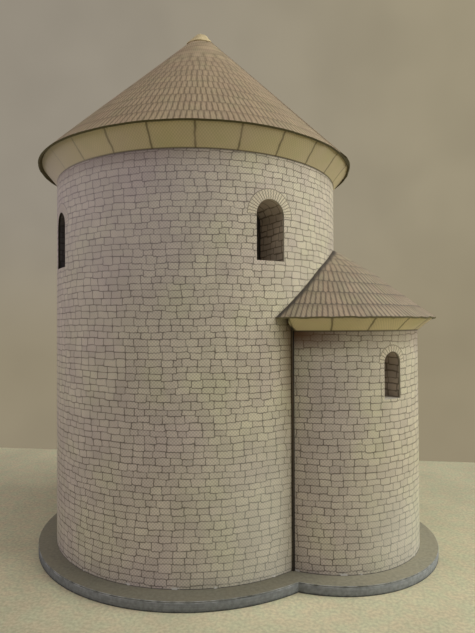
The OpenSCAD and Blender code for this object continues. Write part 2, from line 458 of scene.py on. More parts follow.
class Wiring:
    """Adds nodes to one tree and joins them."""

    def __init__(self, tree: bpy.types.NodeTree) -> None:
        """Takes the node tree to work in."""
        self.tree = tree

    def add(self, kind: str, **settings: object) -> bpy.types.Node:
        """Adds a node and sets its properties.

        Args:
            kind: Blender's name for the node's type.
            **settings: The node's own properties.

        Returns:
            The node.
        """
        node = self.tree.nodes.new(kind)
        for key, value in settings.items():
            setattr(node, key, value)
        return node

    def feed(self, socket: Socket, value: object) -> None:
        """Links a socket into an input, or sets the input's own value.

        Args:
            socket: The input.
            value: Another node's output, or a constant.
        """
        if isinstance(value, Socket):
            self.tree.links.new(value, socket)
        elif socket.type == "VECTOR":
            socket.default_value = tuple(value)[:3]
        else:
            socket.default_value = value

    def run(self, kind: str, values: dict, output: int | str = 0, **settings: object) -> Socket:
        """Adds a node, feeds its inputs and gives one of its outputs.

        Args:
            kind: Blender's name for the node's type.
            values: What goes into each input, by name or index.
            output: Name or index of the output.
            **settings: The node's own properties.

        Returns:
            The output's socket.
        """
        node = self.add(kind, **settings)
        for key, value in values.items():
            self.feed(node.inputs[key], value)
        return node.outputs[output]

    def calc(self, operation: str, *values: object) -> Socket:
        """Adds one Math node and gives its result."""
        return self.run("ShaderNodeMath", dict(enumerate(values)), operation=operation)

    def times(self, *values: object) -> Socket:
        """Multiplies two or more numbers."""
        return reduce(lambda first, second: self.calc("MULTIPLY", first, second), values)

    def plus(self, first: object, second: object) -> Socket:
        """Adds two numbers."""
        return self.calc("ADD", first, second)

    def minus(self, first: object, second: object) -> Socket:
        """Takes the second number from the first."""
        return self.calc("SUBTRACT", first, second)

    def over(self, first: object, second: object) -> Socket:
        """Divides the first number by the second."""
        return self.calc("DIVIDE", first, second)

    def most(self, first: object, second: object) -> Socket:
        """Gives the larger of two numbers."""
        return self.calc("MAXIMUM", first, second)

    def centred(self, value: object, amount: object) -> Socket:
        """Turns a noise from 0..1 into a shift of up to half an amount each way."""
        return self.times(self.minus(value, 0.5), amount)

    def off_whole(self, value: object) -> Socket:
        """Distance of a number from the nearest whole one."""
        part = self.calc("FRACT", value)
        return self.calc("MINIMUM", part, self.minus(1.0, part))

    def ease(self, value: object, low: object, high: object, start: object = 0.0,
             end: object = 1.0) -> Socket:
        """Maps a value smoothly from one range to another and holds it there.

        Args:
            value: The value to map.
            low: The value that gives start.
            high: The value that gives end.
            start: Result at low.
            end: Result at high.

        Returns:
            The mapped value's socket.
        """
        ends = {"Value": value, "From Min": low, "From Max": high, "To Min": start, "To Max": end}
        return self.run("ShaderNodeMapRange", ends, "Result", interpolation_type="SMOOTHSTEP")

    def blend(self, share: object, first: object, second: object, way: str = "MIX") -> Socket:
        """Mixes two colours by a share from 0 to 1."""
        return self.run("ShaderNodeMix", {0: share, 6: first, 7: second}, 2, data_type="RGBA",
                        blend_type=way)

    def stain(self, colour: object, mask: object, share: float, shade: Colour) -> Socket:
        """Pulls a colour towards a shade, by a share of a mask."""
        return self.blend(self.times(mask, share), colour, ink(*shade))

    def lift(self, colour: object, amount: object) -> Socket:
        """Scales a colour's brightness by a number."""
        return self.run("ShaderNodeVectorMath", {0: colour, "Scale": amount}, operation="SCALE")

    def vary(self, colour: object, value: object, *span: float) -> Socket:
        """Scales a colour's brightness by a value eased over a span, as ease takes it."""
        return self.lift(colour, self.ease(value, *span))

    def dim(self, colour: object, mask: object, share: float) -> Socket:
        """Darkens a colour by a share of a mask; a share below 0 brightens it."""
        return self.lift(colour, self.minus(1.0, self.times(mask, share)))

    def clouds(self, place: object, size: float, detail: float = 2.0,
               output: int | str = 0) -> Socket:
        """Adds a noise whose lumps are about size across, in the place's own unit."""
        return self.run("ShaderNodeTexNoise", {"Vector": place, "Scale": 1 / size,
                                               "Detail": detail}, output, noise_dimensions="3D")

    def shuffle(self, value: object) -> Socket:
        """Gives a number from 0 to 1 that differs from one whole value to the next."""
        return self.run("ShaderNodeTexWhiteNoise", {"W": value}, "Value", noise_dimensions="1D")

    def join(self, x: object, y: object, z: object = 0.0) -> Socket:
        """Joins three numbers into a vector."""
        return self.run("ShaderNodeCombineXYZ", {0: x, 1: y, 2: z})

    def split(self, vector: object) -> tuple[Socket, ...]:
        """Splits a vector or a colour into its three numbers."""
        first = self.run("ShaderNodeSeparateXYZ", {0: vector})
        return tuple(first.node.outputs)

    def use(self, effect: "Effect", **values: object) -> dict:
        """Places a node group, fills its inputs and gives its outputs.

        Args:
            effect: The group.
            **values: What goes into each input.

        Returns:
            The outputs by name.
        """
        node = self.add("ShaderNodeGroup", node_tree=effect.get())
        for name, value in values.items():
            self.feed(node.inputs[name], value)
        return node.outputs


@dataclass
class Effect:
    """A shader node group that is built once and placed in several materials."""

    name: str
    inputs: str
    make: Callable[[Wiring, dict], dict[str, Socket]]
    tree: bpy.types.NodeTree | None = field(default=None, init=False)

    def get(self) -> bpy.types.NodeTree:
        """Builds the node group the first time.

        Returns:
            The node group.
        """
        if self.tree is None:
            self.tree = bpy.data.node_groups.new(self.name, "ShaderNodeTree")
            for name in self.inputs.split():
                kind = "NodeSocketVector" if name == "Place" else "NodeSocketFloat"
                self.tree.interface.new_socket(name=name, in_out="INPUT", socket_type=kind)
            w = Wiring(self.tree)
            made = self.make(w, w.add("NodeGroupInput").outputs)
            for name in made:
                self.tree.interface.new_socket(name=name, in_out="OUTPUT",
                                               socket_type="NodeSocketFloat")
            result = w.add("NodeGroupOutput").inputs
            for name, value in made.items():
                w.feed(result[name], value)
        return self.tree


def make_unroll(w: Wiring, given: dict) -> dict[str, Socket]:
    """Wires the unrolling of a place about an upright axis.

    Args:
        w: The group's wiring.
        given: The group's inputs. Turn is -1 where the bearing runs the other way round.

    Returns:
        Bearing, distance along the sheet, height, and reach from the axis.
    """
    x, y, z = w.split(given["Place"])
    out = w.times(w.minus(x, given["Centre"]), given["Turn"])
    side = w.times(y, given["Turn"])
    bearing = w.calc("ARCTAN2", side, out)
    reach_out = w.calc("SQRT", w.plus(w.times(out, out), w.times(side, side)))
    return {"Bearing": bearing, "Along": w.times(bearing, given["Radius"]), "Up": z,
            "Reach": reach_out}


def make_side(w: Wiring, given: dict) -> dict[str, Socket]:
    """Wires the masks for a sheet's printed face and plain back; neither is its cut edges.

    Args:
        w: The group's wiring.
        given: The group's inputs. Tilt is the angle from +Z to the way the print faces.

    Returns:
        The two masks.
    """
    x, y, _ = w.split(given["Place"])
    flat = w.join(w.minus(x, given["Centre"]), y)
    unit = w.run("ShaderNodeVectorMath", {0: flat}, operation="NORMALIZE")
    sideways, across, _ = w.split(unit)
    lean, rise = w.calc("SINE", given["Tilt"]), w.calc("COSINE", given["Tilt"])
    out = w.join(w.times(sideways, lean), w.times(across, lean), rise)
    normal = w.add("ShaderNodeNewGeometry").outputs["True Normal"]
    facing = w.run("ShaderNodeVectorMath", {0: normal, 1: out}, "Value", operation="DOT_PRODUCT")
    return {"Front": w.ease(facing, 0.6, 0.8), "Back": w.ease(facing, -0.6, -0.8)}


def make_masonry(w: Wiring, given: dict) -> dict[str, Socket]:
    """Wires hand-drawn courses of stones, each stone's bed a little off its neighbours'.

    Args:
        w: The group's wiring.
        given: The group's inputs, in millimetres.

    Returns:
        The pen lines, the soft dark beside them, and two random numbers for each stone.
    """
    flat = w.join(given["Along"], given["Up"], given["Seed"])
    shake_x, shake_y, shake_z = w.split(w.clouds(flat, 1.3, 1.0, "Color"))
    along = w.plus(given["Along"], w.centred(shake_x, w.times(given["Wobble"], 1.3)))
    drift = w.plus(w.centred(shake_y, given["Wobble"]), w.centred(w.clouds(flat, 12.0, 1.0), 0.5))
    rows = w.over(w.plus(given["Up"], drift), given["Course"])
    rows = w.plus(rows, w.times(w.calc("SINE", w.times(rows, 2.13)), 0.055))

    def stones(row: object, feature: str, output: str) -> Socket:
        """Divides one course into stones of uneven length.

        Args:
            row: The course's number.
            feature: "F1" for the stones, "DISTANCE_TO_EDGE" for their joints.
            output: The output wanted.

        Returns:
            The output's socket.
        """
        start = w.times(w.shuffle(w.plus(row, given["Seed"])), 90.0)
        steps = w.plus(w.over(along, given["Length"]), start)
        return w.run("ShaderNodeTexVoronoi", {"W": steps, "Scale": 1.0, "Randomness": 0.66},
                     output, voronoi_dimensions="1D", feature=feature)

    bed = w.calc("ROUND", rows)
    step = w.split(stones(bed, "F1", "Color"))[2]
    above = w.minus(w.minus(rows, bed), w.centred(step, 0.2))
    row = w.minus(bed, w.calc("LESS_THAN", above, 0.0))
    off_bed = w.times(w.calc("ABSOLUTE", above), given["Course"])
    off_joint = w.times(stones(row, "DISTANCE_TO_EDGE", "Distance"), given["Length"])
    corner = given["Corner"]
    miss_x = w.most(w.minus(corner, off_joint), 0.0)
    miss_y = w.most(w.minus(corner, off_bed), 0.0)
    squares = w.plus(w.times(miss_x, miss_x), w.times(miss_y, miss_y))
    depth = w.minus(corner, w.calc("SQRT", squares))
    pen = w.times(given["Line"], w.ease(shake_z, 0.25, 0.75, 0.55, 1.35))
    line = w.ease(depth, w.times(pen, 0.5), w.times(pen, 1.6), 1.0, 0.0)
    tint, shade, _ = w.split(stones(row, "F1", "Color"))
    return {"Line": w.times(line, w.ease(shake_z, 0.2, 0.6, 0.72, 1.0)),
            "Halo": w.ease(depth, 0.0, 0.22, 1.0, 0.0), "Tint": tint, "Shade": shade}


def make_ring(w: Wiring, given: dict) -> dict[str, Socket]:
    """Wires the ring of narrow arch stones drawn round a window's head.

    Args:
        w: The group's wiring.
        given: The group's inputs, measured from the middle of the arch's foot.

    Returns:
        The pen lines and the mask of the ring.
    """
    across, above, pen = given["Across"], given["Above"], given["Line"]
    reach_out = w.calc("SQRT", w.plus(w.times(across, across), w.times(above, above)))
    share = w.times(w.over(w.calc("ARCTAN2", above, across), math.pi), given["Stones"])
    step = w.over(w.times(reach_out, math.pi), given["Stones"])
    off_joint = w.times(w.off_whole(share), step)
    outer = w.plus(given["Half"], given["Ring"])
    off_rim = w.calc("ABSOLUTE", w.minus(reach_out, outer))
    within = w.calc("LESS_THAN", reach_out, outer)
    near = w.calc("LESS_THAN", reach_out, w.plus(outer, 0.1))
    head = w.calc("GREATER_THAN", above, 0.0)
    inside = w.times(within, head)
    joints = w.times(w.ease(off_joint, pen, w.times(pen, 2.0), 0.8, 0.0), inside)
    rim = w.times(w.ease(off_rim, pen, w.times(pen, 2.2), 0.8, 0.0), head, near)
    foot = w.times(w.ease(w.calc("ABSOLUTE", above), pen, w.times(pen, 2.2), 0.6, 0.0), within)
    return {"Line": w.most(w.most(joints, rim), foot), "Inside": inside}


def make_tiles(w: Wiring, given: dict) -> dict[str, Socket]:
    """Wires rows of narrow roof tiles drawn on a cone.

    Args:
        w: The group's wiring.
        given: The group's inputs. Down and Eave are distances down the slope, in millimetres.

    Returns:
        The pen lines, each tile's bright middle, a random number for each tile, and the rows'
        lower ends.
    """
    bearing, row_height = given["Bearing"], given["Row"]
    up = w.minus(given["Eave"], given["Down"])
    flat = w.join(w.times(bearing, 18.0), up, 3.0)
    shake_x, shake_y, shake_z = w.split(w.clouds(flat, 1.1, 1.0, "Color"))
    up = w.plus(up, w.centred(shake_y, 0.35))
    rows = w.over(w.times(up, w.plus(1.0, w.times(up, 0.012))), row_height)
    row = w.calc("FLOOR", rows)
    inside = w.calc("FRACT", rows)
    middle = w.times(w.plus(row, 0.5), row_height)
    girth = w.times(w.minus(given["Eave"], middle), given["Girth"], FULL_TURN)
    width = w.times(given["Width"], w.minus(1.0, w.times(row, given["Narrowing"])))
    count = w.most(4.0, w.calc("ROUND", w.over(girth, width)))
    sway = w.plus(w.shuffle(row), w.centred(shake_x, 0.24))
    run = w.plus(w.times(w.over(bearing, FULL_TURN), count), sway)
    off = w.calc("ABSOLUTE", w.minus(w.calc("FRACT", run), 0.5))
    arc = w.over(w.times(given["Down"], given["Girth"], FULL_TURN), count)
    off_side = w.times(w.minus(0.5, off), arc)
    pen = w.times(given["Line"], w.ease(shake_z, 0.25, 0.75, 0.6, 1.4))
    side_line = w.ease(off_side, w.times(pen, 0.5), w.times(pen, 1.6), 1.0, 0.0)
    low_end = w.minus(w.times(inside, row_height), w.times(off, off, 1.3))
    end_line = w.ease(low_end, 0.05, 0.30, 1.0, 0.0)
    shadow = w.ease(w.times(w.minus(1.0, inside), row_height), 0.0, 0.9, 0.55, 0.0)
    lines = w.most(side_line, w.times(end_line, 0.75))
    tile = w.run("ShaderNodeTexWhiteNoise", {"Vector": w.join(w.calc("FLOOR", run), row)},
                 "Value", noise_dimensions="2D")
    return {"Line": w.most(lines, w.times(shadow, 0.8)), "Crown": w.ease(off, 0.5, 0.05),
            "Tint": tile, "Bed": end_line}


def make_dots(w: Wiring, given: dict) -> dict[str, Socket]:
    """Wires the fine diagonal screen of dots that printing leaves.

    Args:
        w: The group's wiring.
        given: The group's inputs. Pitch is the distance between dots, in millimetres.

    Returns:
        The dots, from 0 to 1.
    """
    rate = w.over(math.pi * math.sqrt(2), given["Pitch"])
    wave = w.times(w.calc("SINE", w.times(given["Along"], rate)),
                   w.calc("SINE", w.times(given["Up"], rate)))
    return {"Dots": w.plus(w.times(wave, 0.5), 0.5)}


def make_card(w: Wiring, given: dict) -> dict[str, Socket]:
    """Wires the slow and the fine unevenness of printed card.

    Args:
        w: The group's wiring.
        given: The group's inputs.

    Returns:
        A slow drift, smaller patches and the fine grain.
    """
    place = given["Place"]
    return {"Drift": w.ease(w.clouds(place, 14.0), 0.3, 0.7),
            "Patch": w.ease(w.clouds(place, 3.2, 3.0), 0.25, 0.75),
            "Grain": w.clouds(place, 0.16, 3.0)}


UNROLL = Effect("unrolled sheet", "Place Centre Radius Turn", make_unroll)
SIDE = Effect("sheet sides", "Place Centre Tilt", make_side)
MASONRY = Effect("drawn masonry", "Along Up Course Length Line Corner Wobble Seed", make_masonry)
RING = Effect("arch ring", "Across Above Half Ring Stones Line", make_ring)
TILES = Effect("drawn tiles", "Down Bearing Eave Girth Row Width Narrowing Line", make_tiles)
DOTS = Effect("print dots", "Along Up Pitch", make_dots)
CARD_GRAIN = Effect("card grain", "Place", make_card)


# ---------------------------------------------------------------- finishes

INK_EDGE = ink(58, 54, 44)
CARD_BACK = ink(196, 190, 174)
CARD_CUT = ink(192, 187, 172)
RELIEF_DEPTH = 0.02
Painted = tuple[object, object]
SPECULAR = 0.3


class PrintWiring(Wiring):
    """The wiring of one finish, with the place, the card's grain and the sheets at hand."""

    def __init__(self, tree: bpy.types.NodeTree) -> None:
        """Wires what every finish starts from.

        Args:
            tree: The material's node tree.
        """
        super().__init__(tree)
        source = self.add("ShaderNodeTexCoord").outputs["Object"]
        self.spot = self.lift(source, TO_MM)
        self.x, self.y, self.z = self.split(self.spot)
        self.card = self.use(CARD_GRAIN, Place=self.spot)

    def lumps(self, size: float, detail: float = 2.0) -> Socket:
        """Adds a noise whose lumps are about size across, in millimetres."""
        return self.clouds(self.spot, size, detail)

    def unrolled(self, body: Round, turn: float = 1.0) -> dict:
        """Unrolls the place about one body's axis."""
        return self.use(UNROLL, Place=self.spot, Centre=body.centre, Radius=body.radius, Turn=turn)

    def off_wall(self, body: Round, near: float, far: float) -> Socket:
        """Masks a place beside a body's wall: 1 up to near off its face, 0 beyond far."""
        reach_out = self.unrolled(body)["Reach"]
        return self.ease(reach_out, body.radius + near, body.radius + far, 1.0, 0.0)

    def shade(self, colour: object, mask: object, low: float, high: float) -> Socket:
        """Scales a colour's brightness from low to high as a mask goes from 0 to 1."""
        return self.vary(colour, mask, 0.0, 1.0, low, high)

    def speckle(self, colour: object, grain: object, low: float, high: float) -> Socket:
        """Scales a colour's brightness by a noise, whose values lie mostly about the middle."""
        return self.vary(colour, grain, 0.3, 0.7, low, high)


@dataclass(frozen=True)
class Surface:
    """How a finish takes the light: roughness, the spread its grain gives it, and relief."""

    rough: float = 0.75
    spread: float = 0.12
    relief: float = 0.25


@dataclass(frozen=True)
class Mottle:
    """Two tints that come and go over a print in soft blotches."""

    size: float
    high: tuple[float, float, float, float]
    high_tint: Colour
    low: tuple[float, float, float, float]
    low_tint: Colour

    def over(self, w: PrintWiring, colour: object) -> Socket:
        """Wires both tints over a colour.

        Args:
            w: The material's wiring.
            colour: The colour so far.

        Returns:
            The mottled colour.
        """
        lumps = w.lumps(self.size)
        colour = w.blend(w.ease(lumps, *self.high), colour, ink(*self.high_tint))
        return w.blend(w.ease(lumps, *self.low), colour, ink(*self.low_tint))


@dataclass(frozen=True)
class Finish:
    """A material whose colour each kind of finish wires its own way."""

    name: str
    surface: ClassVar[Surface] = Surface()

    def paint(self, w: PrintWiring) -> Painted:
        """Wires the colour and names the grain, which gives the roughness and the relief."""
        raise NotImplementedError

    def build(self) -> bpy.types.Material:
        """Wires the whole material.

        Returns:
            The material.
        """
        material = bpy.data.materials.new(self.name)
        material.use_nodes = True
        shader = material.node_tree.nodes["Principled BSDF"].inputs
        w = PrintWiring(material.node_tree)
        colour, grain = self.paint(w)
        shader["Specular IOR Level"].default_value = SPECULAR
        w.feed(shader["Base Color"], colour)
        w.feed(shader["Roughness"], w.plus(w.centred(grain, self.surface.spread),
                                           self.surface.rough))
        w.feed(shader["Normal"], w.run("ShaderNodeBump", {
            "Strength": self.surface.relief, "Distance": RELIEF_DEPTH * MM, "Height": grain}))
        return material


@dataclass(frozen=True)
class SheetPrint(Finish):
    """A print on the face of one rolled sheet."""

    body: Round

    def on_sheet(self, w: PrintWiring, tilt: float, printed: object, cut: object,
                 back: object = CARD_BACK) -> Socket:
        """Puts the print on the sheet's face, and other colours on its cut edges and back.

        Args:
            w: The material's wiring.
            tilt: Angle from +Z to the way the print faces, in radians.
            printed: Colour of the face.
            cut: Colour of the cut edges.
            back: Colour of the back.

        Returns:
            The sheet's colour.
        """
        side = w.use(SIDE, Place=w.spot, Centre=self.body.centre, Tilt=tilt)
        return w.blend(side["Back"], w.blend(side["Front"], cut, printed), back)


@dataclass(frozen=True)
class MasonryPrint(SheetPrint):
    """The printed stone wall of one round body."""

    turn: float
    fold: float
    ring: float
    ring_stones: float
    course: float
    length: float
    seed: float
    warm: Colour = (212, 204, 182)
    cool: Colour = (204, 194, 176)
    blush: Colour = (200, 184, 180)
    joint: Colour = (76, 64, 52)
    line: float = 0.044
    corner: float = 0.2
    wobble: float = 0.3
    ring_line: float = 0.045
    press: float = 0.72
    halo: float = 0.14
    dot: float = 0.33
    cornice_shade: float = 0.42
    mauve: float = 0.22
    left_light_tint: float = 0.26
    low_left_shade: float = 0.18
    right_light: float = 0.15
    right_warm_light: float = 0.3
    cornice_shade_reach: float = 2.4
    surface: ClassVar[Surface] = Surface(0.66, 0.14)

    def paint(self, w: PrintWiring) -> Painted:
        """Wires the stones, their tones, the arch stones, the wear, and the painted light and shade.

        Args:
            w: The material's wiring.

        Returns:
            The colour and the grain.
        """
        body = self.body
        sheet = w.unrolled(self.body, self.turn)
        along, up = sheet["Along"], sheet["Up"]
        wall = w.use(MASONRY, Along=along, Up=up, Course=self.course, Length=self.length,
                     Line=self.line, Corner=self.corner, Wobble=self.wobble, Seed=self.seed)
        ring = self.arch(w, sheet)
        mottle = Mottle(7.0, (0.52, 0.72, 0.0, self.mauve), (190, 172, 172),
                        (0.28, 0.48, 0.35, 0.0), (208, 206, 172))
        stone = w.blend(wall["Tint"], ink(*self.cool), ink(*self.warm))
        stone = w.stain(stone, w.card["Drift"], 0.42, self.blush)
        stone = mottle.over(w, stone)
        stone = w.shade(stone, wall["Shade"], 0.95, 1.035)
        stone = w.shade(stone, w.card["Patch"], 0.94, 1.04)
        stone = w.dim(stone, wall["Halo"], self.halo)
        stone = w.stain(stone, ring["Inside"], 0.7, (214, 203, 180))
        lines = w.most(w.times(wall["Line"], w.minus(1.0, ring["Inside"])), ring["Line"])
        printed = w.stain(stone, lines, self.press, self.joint)
        dots = w.use(DOTS, Along=along, Up=up, Pitch=self.dot)["Dots"]
        printed = self.tone(w, up, w.shade(printed, dots, 0.78, 1.13))
        top_line = w.times(w.ease(up, body.wall_top - 0.2, body.wall_top - 0.08), 0.6)
        printed = self.wear_and_shade_foot(w, up, w.blend(top_line, printed, INK_EDGE))
        # Cut edges are inked dark towards -X and bare light card towards +X; the change from side to
        # side is painted shade.
        cut = w.blend(w.ease(w.x, -body.radius * 0.6, 0.0), INK_EDGE, CARD_CUT)
        return self.on_sheet(w, math.pi / 2, printed, cut), w.card["Grain"]

    def arch(self, w: PrintWiring, sheet: dict) -> dict:
        """Draws the arch stones round every window, which the print's fold makes one.

        Args:
            w: The material's wiring.
            sheet: Outputs of the unrolled sheet.

        Returns:
            Outputs of the arch ring.
        """
        body = self.body
        folded = w.calc("ABSOLUTE", w.minus(w.calc("ABSOLUTE", sheet["Bearing"]),
                                            math.radians(self.fold)))
        window = math.radians(abs(self.fold - abs(body.window_bearings[0])))
        across = w.times(w.minus(folded, window), body.radius)
        return w.use(RING, Across=across, Above=w.minus(sheet["Up"], body.spring),
                     Half=body.window_half, Ring=self.ring, Stones=self.ring_stones,
                     Line=self.ring_line)

    def tone(self, w: PrintWiring, up: object, printed: object) -> object:
        """Paints shade and light into the print: shade below the cornice, in the corner by the apse
        and low on the -X side; warm light on the +X side and a cool cast high up elsewhere.

        Args:
            w: The material's wiring.
            up: The height.
            printed: The colour so far.

        Returns:
            The colour with its painted light and shade.
        """
        body = self.body
        centre, radius = body.centre, body.radius

        def level(share: float) -> float:
            """Height at a share of the wall's."""
            return body.foot + (body.wall_top - body.foot) * share

        # Painted shadow of the cornice: the courses just below it are stained brown, weaker towards
        # +X.
        under = w.times(w.ease(up, body.wall_top - self.cornice_shade_reach, body.wall_top - 0.4),
                        w.ease(w.x, centre - radius * 0.2, centre + radius * 0.45, 1.0, 0.35))
        printed = w.stain(printed, under, self.cornice_shade, (98, 72, 50))
        right = w.ease(w.x, centre + radius * 0.05, centre + radius * 0.75)
        # Painted light: a cool pinkish-grey cast high on the wall, away from the +X side.
        high = w.times(w.ease(up, level(0.45), level(0.95)), w.minus(1.0, right))
        printed = w.stain(printed, high, self.left_light_tint, (188, 176, 190))
        # Painted shade: the wall is darker low down on the -X side.
        low = w.ease(up, level(0.1), level(0.5), 1.0, 0.0)
        left = w.ease(w.x, centre - radius, centre + radius * 0.1, 1.0, 0.0)
        printed = w.dim(printed, w.times(low, left), self.low_left_shade)
        # Painted light on the +X side: brighter, tinted warm yellow, and pale greenish-grey low down.
        printed = w.dim(printed, right, -self.right_light)
        printed = w.blend(w.times(right, self.right_warm_light), printed, ink(226, 224, 186), "MULTIPLY")
        printed = w.stain(printed, w.times(low, right), 0.3, (204, 210, 196))
        if body is NAVE:
            # Painted shade: brown in the corner beside the apse wall, strongest near its top and
            # fading above its cornice.
            corner = w.times(w.off_wall(APSE, 0.0, 3.0),
                             w.ease(up, APSE.wall_top - 16.0, APSE.wall_top, 0.35, 1.0),
                             w.ease(up, APSE.eave_height, APSE.eave_height + 2.0, 1.0, 0.0))
            printed = w.stain(printed, corner, 0.8, (100, 74, 44))
        return printed

    def wear_and_shade_foot(self, w: PrintWiring, up: object, printed: object) -> object:
        """Adds a band of painted shade along the wall's foot, where it meets the board, and the torn
        white flecks.

        Args:
            w: The material's wiring.
            up: The height.
            printed: The colour so far.

        Returns:
            The colour with the foot's painted shade and wear.
        """
        above = w.minus(up, self.body.foot)
        ragged = w.times(w.lumps(0.7), 0.16)
        # Painted shade: a ragged dark band at the very foot of the wall.
        gap = w.ease(w.plus(above, ragged), 0.12, 0.24, 1.0, 0.0)
        printed = w.stain(printed, gap, 0.8, (52, 50, 50))
        fleck = w.times(w.ease(w.lumps(1.3, 3.0), 0.60, 0.66),
                        w.ease(above, 0.16, 0.42, 1.0, 0.0))
        return w.stain(printed, fleck, 0.85, (224, 222, 214))


@dataclass(frozen=True)
class RevealPrint(SheetPrint):
    """The stone print that lines a window's jambs and arch."""

    stone: Colour = (206, 192, 176)
    joint: Colour = (108, 98, 88)
    other: float = 0.93
    course: float = 0.98
    length: float = 1.9
    line: float = 0.09
    corner: float = 0.2
    wobble: float = 0.22
    seed: float = 4.0
    surface: ClassVar[Surface] = Surface(0.75, 0.1, 0.2)

    def paint(self, w: PrintWiring) -> Painted:
        """Wires the stones.

        Args:
            w: The material's wiring.

        Returns:
            The colour and the grain.
        """
        sheet = w.unrolled(self.body)
        wall = w.use(MASONRY, Along=sheet["Reach"], Up=sheet["Up"], Course=self.course,
                     Length=self.length, Line=self.line, Corner=self.corner, Wobble=self.wobble,
                     Seed=self.seed)
        stone = w.blend(wall["Tint"], w.lift(ink(*self.stone), self.other), ink(*self.stone))
        stone = w.shade(stone, w.card["Patch"], 0.85, 1.08)
        return w.stain(stone, wall["Line"], 0.8, self.joint), w.card["Grain"]


@dataclass(frozen=True)
class TilePrint(SheetPrint):
    """The printed tiles of one conical roof."""

    row: float
    width: float
    narrowing: float
    trimmed: bool
    warm: Colour = (182, 163, 129)
    cool: Colour = (176, 159, 128)
    line: Colour = (92, 78, 54)
    faint: float = 0.3
    strong: float = 0.58
    bed: float = 0.12
    left_shade: float = 0.95
    edge_ink: Colour = (88, 82, 54)
    pen: float = 0.1
    dot: float = 0.34
    mottle: ClassVar[Mottle] = Mottle(2.6, (0.5, 0.72, 0.0, 0.32), (176, 149, 126),
                                      (0.28, 0.5, 0.32, 0.0), (160, 155, 118))
    surface: ClassVar[Surface] = Surface(0.68, 0.14)

    def paint(self, w: PrintWiring) -> Painted:
        """Wires the tiles, their tones and the roof's edges.

        Args:
            w: The material's wiring.

        Returns:
            The colour and the grain.
        """
        body = self.body
        pitch = body.roof_pitch
        flatness = math.cos(pitch)
        eave = body.roof_reach / flatness
        sheet = w.unrolled(self.body)
        down = w.over(sheet["Reach"], flatness)
        tiles = w.use(TILES, Down=down, Bearing=sheet["Bearing"], Eave=eave, Girth=flatness,
                      Row=self.row, Width=self.width, Narrowing=self.narrowing, Line=self.pen)
        tile = w.blend(tiles["Tint"], ink(*self.cool), ink(*self.warm))
        tile = w.stain(tile, w.card["Drift"], 0.3, (178, 150, 124))
        tile = self.mottle.over(w, tile)
        fan = w.times(sheet["Bearing"], flatness)
        dots = w.use(DOTS, Along=w.times(down, w.calc("SINE", fan)),
                     Up=w.times(down, w.calc("COSINE", fan)), Pitch=self.dot)["Dots"]
        tile = w.shade(tile, dots, 0.84, 1.1)
        tile = w.shade(tile, tiles["Crown"], 0.88, 1.04)
        tile = w.shade(tile, w.card["Patch"], 0.93, 1.05)
        tile = w.vary(tile, w.x, body.centre - body.roof_reach, body.centre, self.left_shade, 1.0)
        press = w.ease(down, eave * 0.1, eave * 0.9, self.faint, self.strong)
        printed = w.blend(w.times(tiles["Line"], press), tile, ink(*self.line))
        printed = w.stain(printed, tiles["Bed"], self.bed, (84, 80, 74))
        if self.trimmed:
            printed = w.stain(printed, w.off_wall(NAVE, 0.3, 0.95), 0.85, (66, 62, 58))
        printed = self.scuff_eave(w, down, eave, printed)
        rim = w.blend(w.ease(down, eave - 2.0, eave - 1.5), ink(214, 202, 180),
                      ink(*self.edge_ink))
        outside = w.ease(sheet["Reach"], body.eave_radius - 0.6, body.eave_radius - 0.2)
        back = w.blend(outside, CARD_BACK, ink(92, 86, 58))
        return self.on_sheet(w, pitch, printed, rim, back), w.card["Grain"]

    def scuff_eave(self, w: PrintWiring, down: object, eave: float,
                   printed: object) -> object:
        """Adds the dark ink line and the white scuffs along the roof's lower edge.

        Args:
            w: The material's wiring.
            down: Distance down the slope from the apex.
            eave: That distance at the eave.
            printed: The colour so far.

        Returns:
            The colour with the eave's wear.
        """
        printed = w.stain(printed, w.ease(down, eave - 0.35, eave - 0.02), 0.55, (62, 54, 42))
        fleck = w.times(w.ease(w.lumps(0.45, 3.0), 0.58, 0.66),
                        w.ease(down, eave - 0.5, eave - 0.1))
        return w.stain(printed, fleck, 0.6, (206, 202, 190))


